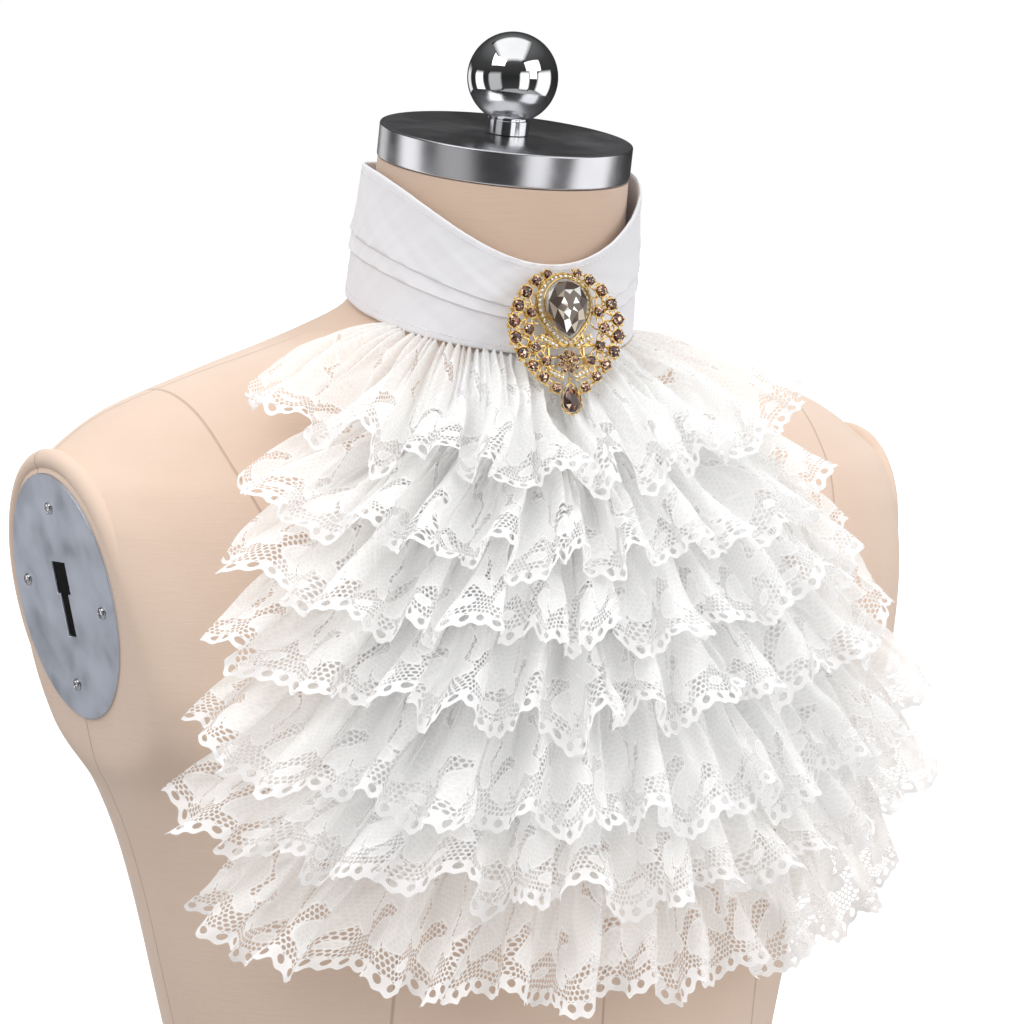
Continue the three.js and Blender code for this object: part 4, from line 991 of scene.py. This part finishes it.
# ---- Brooch ------------------------------------------------------------------
def brooch_matrix():
    a, lean = BROOCH["angle"], BROOCH["lean"]
    turn = np.array([[math.cos(a), -math.sin(a), 0], [math.sin(a), math.cos(a), 0], [0, 0, 1]])
    b = math.pi / 2 - lean
    tip = np.array([[1, 0, 0], [0, math.cos(b), -math.sin(b)], [0, math.sin(b), math.cos(b)]])
    matrix = np.eye(4)
    matrix[:3, :3] = turn @ tip
    reach = BROOCH["reach"]
    matrix[:3, 3] = (reach * math.sin(a), COLLAR["bottom_centre"] - reach * math.cos(a), BROOCH["z"])
    return matrix


def pear_outline(half_width, up, down, points):
    a = 2 * np.pi * np.arange(points) / points
    low = np.cos(a) < 0
    across = half_width * np.sin(a) * np.where(low, 1 - 0.42 * np.cos(a) ** 2, 1)
    return np.stack([across, np.where(low, down, up) * np.cos(a)], -1)[::-1]


def faceted(outline, levels, pile, at=(0, 0), shades=None):
    """A cut stone: each level scales the outline and lifts it; alternate levels turn half a step."""
    n = len(outline)
    rings = []
    for k, (scale, height) in enumerate(levels):
        ring = outline if k % 2 == 0 else (outline + np.roll(outline, -1, 0)) / 2
        rings.append(np.column_stack([ring * scale + np.asarray(at), np.full(n, height)]))
    faces = []
    for k in range(len(levels) - 1):
        for i in range(n):
            a, b = k * n + i, k * n + (i + 1) % n
            c, d = a + n, b + n
            if k % 2 == 0:
                faces += [[a, b, c], [b, d, c]]
            else:
                faces += [[a, b, d], [a, d, c]]
    faces.append([(len(levels) - 1) * n + i for i in range(n)])
    faces.append(list(range(n))[::-1])
    tones = rng.uniform(0, 1, len(faces))
    if shades is not None:
        tones = shades(tones)
    pile.add(np.concatenate(rings), faces, tones)


def circle(radius, points):
    a = 2 * np.pi * np.arange(points) / points
    return np.stack([radius * np.cos(a), radius * np.sin(a)], -1)


def bead(pile, x, y, z, radius):
    points, faces = lathe([(0, -1), (0.7, -0.7), (1, 0), (0.7, 0.7), (0, 1)], 8)
    pile.add(points * radius + np.array([x, y, z]), faces)


def flashes(tones):
    """Foiled stones are dark with a few bright facets, which are painted glints."""
    return np.where(tones > 0.86, 1.0, np.where(tones > 0.66, 0.62, tones * 0.5))


def sparkle(tones):
    """Clear stones are bright with a few dark facets, a painted reflection of the light inside them."""
    return np.where(tones > 0.45, 1.0, np.where(tones > 0.2, 0.65, 0.3))


def stone_in_setting(x, y, base, radius, stones, metal, sides, prongs, turn, shades=flashes):
    """A cut stone in a round cup, held by prongs that end in grains."""
    cup, faces = lathe([(0, base - 0.2), (radius * 0.9, base - 0.2), (radius * 1.12, base + radius * 0.55),
                        (radius * 0.95, base + radius * 0.6), (0, base + radius * 0.3)], 16)
    metal.add(cup + np.array([x, y, 0]), faces)
    low = base + 0.1
    levels = [(0.86, low + radius * 0.45), (1.0, low + radius * 0.72), (0.84, low + radius * 1.0),
              (0.55, low + radius * 1.22), (0.28, low + radius * 1.26)]
    faceted(circle(radius, sides), levels, stones, (x, y), shades)
    for k in range(prongs):
        a = turn + 2 * np.pi * (k + 0.5) / prongs
        reach = radius * 1.04
        bead(metal, x + reach * math.cos(a), y + reach * math.sin(a), low + radius * 0.78, radius * 0.2)


def strand(pile, start, end, bow, radius, height):
    """A bowed gold wire with a few grains on it."""
    start, end = np.asarray(start, float), np.asarray(end, float)
    side = np.array([start[1] - end[1], end[0] - start[0]])
    s = np.linspace(0, 1, 12)[:, None]
    path = start + (end - start) * s + side * bow * 4 * s * (1 - s)
    pile.add(*tube(np.column_stack([path, np.full(12, height)]), radius, 6))
    for k in (3, 8):
        bead(pile, *path[k], height + 0.2, 1.5 * radius)


def bar_of_stones(pile, stones, start, end, count, radius, height):
    """A row of small clear stones between two rails."""
    start, end = np.asarray(start, float), np.asarray(end, float)
    side = unit(np.array([start[1] - end[1], end[0] - start[0]])) * radius * 1.35
    for way in (-1, 1):
        strand(pile, start + way * side, end + way * side, -0.03, 0.32, height)
    for k in range(count):
        x, y = start + (end - start) * (k + 0.5) / count + side * 0.12 * math.sin(np.pi * (k + 0.5) / count)
        stone_in_setting(x, y, height, radius, stones, pile, 8, 2, k, sparkle)


def over_pear(x, y):
    """Whether a place of the brooch lies under the pear stone or its ring."""
    return math.hypot(x / PEAR_RIM["half_width"], (y - PEAR_RIM["z"]) / PEAR_RIM["half_height"]) < 1


def build_pear(gold, clear, pear, deck):
    """The pear stone, with a ring of small clear stones and a rim round it."""
    def grown(grow, points):
        ring = pear_outline(PEAR["half_width"] + grow, PEAR["up"] + grow, PEAR["down"] + grow * 1.2, points)
        return ring + np.array([0, PEAR["z"]])

    middle = grown(0, 200).mean(axis=0)
    girdle, crown = deck + PEAR["girdle"], deck + PEAR["crown"]
    rise = crown - girdle
    levels = [(0.86, girdle - 1.0), (1.0, girdle), (0.9, girdle + 0.45 * rise),
              (0.66, girdle + 0.85 * rise), (0.42, crown), (0.16, crown + 0.12)]
    faceted(grown(0, 9) - middle, levels, pear, middle, flashes)
    wires = ((0.5, girdle + 0.2, 0.42), (2.3, deck + 0.8, 0.5), (2.7, deck + 0.2, 0.45))
    for grow, height, radius in wires:
        ring = grown(grow, 96)
        path = np.column_stack([np.vstack([ring, ring[:2]]), np.full(98, height)])
        gold.add(*tube(path, radius, 8))
    ring = grown(1.4, 400)
    place = np.concatenate([[0], np.cumsum(np.linalg.norm(np.diff(ring, axis=0), axis=1))])
    for k in range(RING_STONES):
        at = place[-1] * (k + 0.5) / RING_STONES
        x, y = np.interp(at, place, ring[:, 0]), np.interp(at, place, ring[:, 1])
        stone_in_setting(x, y, deck + 0.8, 0.88, clear, gold, 8, 2, k, sparkle)
    # The broad rim over the top, with a row of grains.
    top = grown(2.5, 400)
    for x, y in top[np.argsort(-top[:, 1])[:150:4]]:
        bead(gold, x, y, deck + 1.5, 0.62)


def build_rosette(gold, brown, deck):
    x0, y0 = ROSETTE["x"], ROSETTE["z"]
    for count, reach, radius, lift in ((8, 3.9, 1.2, 0.4), (5, 2.0, 1.1, 1.3), (1, 0.0, 1.2, 2.0)):
        for k in range(count):
            a = 2 * np.pi * (k + 0.3) / count
            x, y = x0 + reach * math.cos(a), y0 + reach * math.sin(a)
            stone_in_setting(x, y, deck + lift, radius, brown, gold, 10, 3, turn=a)


def build_drop(gold, brown, deck):
    x, z = DROP["x"], DROP["z"]
    outline = pear_outline(DROP["half_width"], DROP["down"], DROP["up"], 10) * np.array([1, -1])
    outline = outline[::-1]
    levels = [(0.9, deck + 0.2), (1.0, deck + 0.9), (0.8, deck + 1.9), (0.45, deck + DROP["height"])]
    faceted(outline, levels, brown, (x, z), flashes)
    rim = np.vstack([outline, outline[:2]]) * 1.14 + np.array([x, z])
    fine = np.stack([np.interp(np.linspace(0, 11, 70), np.arange(12), rim[:, k]) for k in range(2)], -1)
    gold.add(*tube(np.column_stack([fine, np.full(70, deck + 0.4)]), 0.45, 8))
    for step in (1.0, 2.6):
        bead(gold, x, z + DROP["up"] + step, deck + 0.4, 0.85)


def build_brooch():
    gold, brown, clear, pear = Pile(), Pile(), Pile(), Pile()
    deck = BROOCH["plate"] + SEAM_GAP
    build_pear(gold, clear, pear, deck)
    for x, y, radius in STONES:
        stone_in_setting(x, y, deck - 0.3, radius, brown, gold, 12, 4, turn=0.3 * x)
    build_rosette(gold, brown, deck)
    for start, end, count, radius in HALF_BARS:
        for mirror in (np.array([1, 1]), np.array([-1, 1])):
            bar_of_stones(gold, clear, mirror * start, mirror * end, count, radius, deck - 0.1)
    build_drop(gold, brown, deck)
    build_wires(gold, deck)
    build_grains(gold, deck)

    matrix = brooch_matrix()
    metal = gold.build("brooch_setting", GOLD, matrix=matrix, sharp_angle=45)
    browns = brown.build("brooch_stones_brown", BROWN, smooth=False, matrix=matrix)
    clears = clear.build("brooch_stones_clear", CLEAR, smooth=False, matrix=matrix)
    big = pear.build("brooch_pear", SMOKY, smooth=False, matrix=matrix)
    fit(metal, "gold_metal", "brooch_plate", "brooch_collet")
    fit(browns, "brown_stone", "brooch_flower", "brooch_drop",
        *[f"brooch_stone_{side}{i + 1}" for i in range(len(HALF_STONES)) for side in "rl"])
    fit(clears, "smoky_stone")
    fit(big, "smoky_stone", "brooch_pear_stone")


def build_wires(gold, deck):
    """Bowed wires join each stone to those near it, and others run to the pear's rim."""
    places = np.array([(x, y) for x, y, _ in STONES] + [(ROSETTE["x"], ROSETTE["z"])])
    for i, first in enumerate(places):
        for j in range(i + 1, len(places)):
            length = np.linalg.norm(places[j] - first)
            centre = (first + places[j]) / 2
            if length < 10.5 and not over_pear(*centre):
                for bow in (0.2, -0.16):
                    strand(gold, first, places[j], bow, 0.36, deck - 1.0 + 0.9 * rng.random())
    for x, y, _ in STONES:
        aim = np.array([0, PEAR_RIM["z"]])
        gap = np.array([x, y]) - aim
        rim = aim + gap / math.hypot(gap[0] / PEAR_RIM["half_width"], gap[1] / PEAR_RIM["half_height"])
        if np.linalg.norm(np.array([x, y]) - rim) < 9:
            strand(gold, (x, y), rim, 0.24, 0.34, deck - 0.6)
    for start, end in BACK_WIRES:
        strand(gold, start, end, 0.0, 0.7, 0.75)


def build_grains(gold, deck):
    """Two gold grains outside each stone."""
    for x, y, radius in STONES:
        away = unit(np.array([x, y]))
        for turn in (-0.9, 0.9):
            c, s = math.cos(turn), math.sin(turn)
            way = np.array([away[0] * c - away[1] * s, away[0] * s + away[1] * c])
            at = np.array([x, y]) + way * radius * 1.15
            if not over_pear(*at):
                bead(gold, at[0], at[1], deck - 0.2, 0.5 + 0.12 * radius)


def dress_pin():
    """The pin, the one CAD node that stays, gets the brooch's finish."""
    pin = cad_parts["brooch_pin"]
    pin.data.materials.clear()
    pin.data.materials.append(GOLD)


# ---- Studio ------------------------------------------------------------------
# Softboxes: azimuth, elevation, width, height and brightness.
CARD_EDGE = 0.3     # the share of a softbox's half width over which it fades
CARDS = [
    (-126, -8, 0.85, 1.3, 1.5), (-78, -8, 1.05, 1.3, 0.55), (-2, -8, 0.72, 1.3, 1.4),
    (56, -8, 1.45, 1.3, 1.45), (-175, -8, 0.7, 1.3, 0.9), (-32, 80, 1.9, 2.6, 1.12),
]
LIGHT_AIM, CARD_AIM = 0.5, 0.62     # metres above the floor
CAMERA = dict(azimuth=math.radians(-32), distance=1790, height=641, focal_px=4170,
              axis_px=(474, 212), image_px=1024)


def build_camera():
    """A level line of sight meets the form's axis at axis_px; the camera tilts to centre the frame."""
    c = CAMERA
    a = c["azimuth"]
    away = np.array([-math.sin(a), math.cos(a), 0])
    right = np.array([math.cos(a), math.sin(a), 0])
    at = -away * c["distance"] + np.array([0, 0, c["height"]])
    right_of, below = (c["image_px"] / 2 - px for px in c["axis_px"])
    aim = away + right * right_of / c["focal_px"] - np.array([0, 0, 1]) * below / c["focal_px"]
    data = bpy.data.cameras.new("camera")
    data.sensor_width, data.lens = 36, 36 * c["focal_px"] / c["image_px"]
    data.clip_start, data.clip_end = 0.05, 200
    camera = bpy.data.objects.new("camera", data)
    bpy.context.scene.collection.objects.link(camera)
    camera.location = at * MM
    z_axis = -unit(aim)
    x_axis = unit(np.cross((0, 0, 1), z_axis))
    matrix = frame_matrix(x_axis, np.cross(z_axis, x_axis), z_axis, at * MM)
    camera.matrix_world = Matrix(matrix.tolist())
    bpy.context.scene.camera = camera


def facing(azimuth, elevation):
    """Axes of a panel that faces the part; the third points out towards the panel."""
    a, e = math.radians(azimuth), math.radians(elevation)
    out = np.array([math.sin(a) * math.cos(e), -math.cos(a) * math.cos(e), math.sin(e)])
    x_axis = unit(np.cross((0, 0, 1), out))
    return x_axis, np.cross(out, x_axis), out


def add_light(name, azimuth, elevation, distance, size, power):
    data = bpy.data.lights.new(name, "AREA")
    data.size, data.energy = size, power
    light = bpy.data.objects.new(name, data)
    bpy.context.scene.collection.objects.link(light)
    axes = facing(azimuth, elevation)
    matrix = frame_matrix(*axes, np.array([0, 0, LIGHT_AIM]) + axes[2] * distance)
    light.matrix_world = Matrix(matrix.tolist())


def add_card(name, azimuth, elevation, distance, width, height, level):
    """A softbox, dimmer towards its edges, that only reflections see."""
    material, tree, shader = new_material(name)
    shader.inputs["Base Color"].default_value = (0, 0, 0, 1)
    shader.inputs["Emission Color"].default_value = (1, 1, 1, 1)
    glow = Sum(tree, link_node(tree, "ShaderNodeAttribute", attribute_name="glow").outputs["Fac"])
    tree.links.new((glow * level).socket, shader.inputs["Emission Strength"])
    x_axis, y_axis, out = facing(azimuth, elevation)
    centre = np.array([0, 0, CARD_AIM]) + out * distance
    steps = np.array([-1, CARD_EDGE - 1, 1 - CARD_EDGE, 1])
    sx, sy = (shares.reshape(-1, 1) for shares in np.meshgrid(steps, steps))
    points = centre + sx * x_axis * width / 2 + sy * y_axis * height / 2
    card = add_mesh(name, points / MM, grid_faces(3, 3), material)
    glow = card.data.attributes.new("glow", "FLOAT", "POINT")
    glow.data.foreach_set("value", (np.maximum(abs(sx), abs(sy)) < 1).astype(float).ravel())
    for seen_by in ("camera", "diffuse", "shadow", "transmission"):
        setattr(card, f"visible_{seen_by}", False)


def add_dome(name, radius, stops, seen_by_camera):
    """A round backdrop; stops give its brightness from straight down (0) to straight up (1)."""
    material, tree, shader = new_material(name)
    height = link_node(tree, "ShaderNodeSeparateXYZ", {"Vector": object_position(tree)}).outputs[2]
    level = (Sum(tree, height) * (0.5 / radius) + 0.5).socket
    colour = ramp(tree, level, [(at, (value, value, value)) for at, value in stops])
    tree.links.new(colour, shader.inputs["Emission Color"])
    shader.inputs["Emission Strength"].default_value = 1.0
    shader.inputs["Base Color"].default_value = (0, 0, 0, 1)
    a = np.linspace(0, np.pi, 25)
    profile = [(radius * math.sin(x), -radius * math.cos(x)) for x in a]
    profile[0], profile[-1] = (0, -radius), (0, radius)
    points, faces = lathe(profile, 48)
    dome = add_mesh(name, points / MM, [f[::-1] for f in faces], material)
    dome.visible_camera = seen_by_camera
    dome.visible_glossy = not seen_by_camera
    for ray in ("diffuse", "shadow", "transmission"):
        setattr(dome, f"visible_{ray}", False)


def build_world():
    """Soft light: strong from above, weaker level with the part, weak from below."""
    world = bpy.data.worlds.new("studio")
    world.use_nodes = True
    tree = world.node_tree
    back = tree.nodes["Background"]
    direction = tree.nodes.new("ShaderNodeTexCoord").outputs["Generated"]
    height = link_node(tree, "ShaderNodeSeparateXYZ", {"Vector": direction}).outputs[2]
    level = (Sum(tree, height) * 0.5 + 0.5).socket
    stops = [(0.0, 0.36), (0.4, 0.5), (0.55, 0.86), (1.0, 1.3)]
    tree.links.new(ramp(tree, level, [(at, (v, v, v)) for at, v in stops]), back.inputs[0])
    back.inputs[1].default_value = 1.0
    bpy.context.scene.world = world


def build_studio():
    scene = bpy.context.scene
    build_world()
    scene.view_settings.view_transform = "Standard"
    scene.cycles.transparent_max_bounces = 18
    scene.cycles.max_bounces = 7
    scene.cycles.diffuse_bounces = 4

    material, tree, shader = new_material("floor")
    cloud = noise(tree, object_position(tree), 2.0, 2.0)
    pale = ramp(tree, cloud, [(0.2, (0.90, 0.90, 0.90)), (0.8, (0.94, 0.94, 0.94))])
    tree.links.new(pale, shader.inputs["Base Color"])
    shader.inputs["Roughness"].default_value = 0.8
    shader.inputs["Emission Color"].default_value = (1, 1, 1, 1)
    shader.inputs["Emission Strength"].default_value = 0.32
    size = 60000
    corners = [(x * size, y * size, -0.2) for x, y in ((-1, -1), (1, -1), (1, 1), (-1, 1))]
    floor = add_mesh("floor", corners, [[0, 1, 2, 3]], material)
    floor.visible_diffuse = floor.visible_glossy = False

    add_dome("backdrop", 80, [(0.0, 1.0), (1.0, 1.0)], True)
    room = [(0.0, 0.5), (0.245, 0.42), (0.255, 0.05), (0.5, 0.02), (0.75, 0.05), (1.0, 0.2)]
    add_dome("room", 70, room, False)
    add_light("key", -72, 48, 1.9, 1.1, 9)
    add_light("fill", 24, 20, 2.2, 1.6, 13)
    for number, (azimuth, elevation, *card) in enumerate(CARDS):
        add_card(f"card_{number + 1}", azimuth, elevation, 1.5, *card)


# ---- The whole ---------------------------------------------------------------
build_camera()
build_studio()
build_form()
build_cap_and_knob()
for way in (-1, 1):
    build_arm_rim(way)
    build_arm_plate(way)
build_collar()
build_collar_stitches()
build_buttons()
build_bib()
for index, row in enumerate(TIERS):
    build_ruffle(index + 1, row)
build_brooch()
dress_pin()
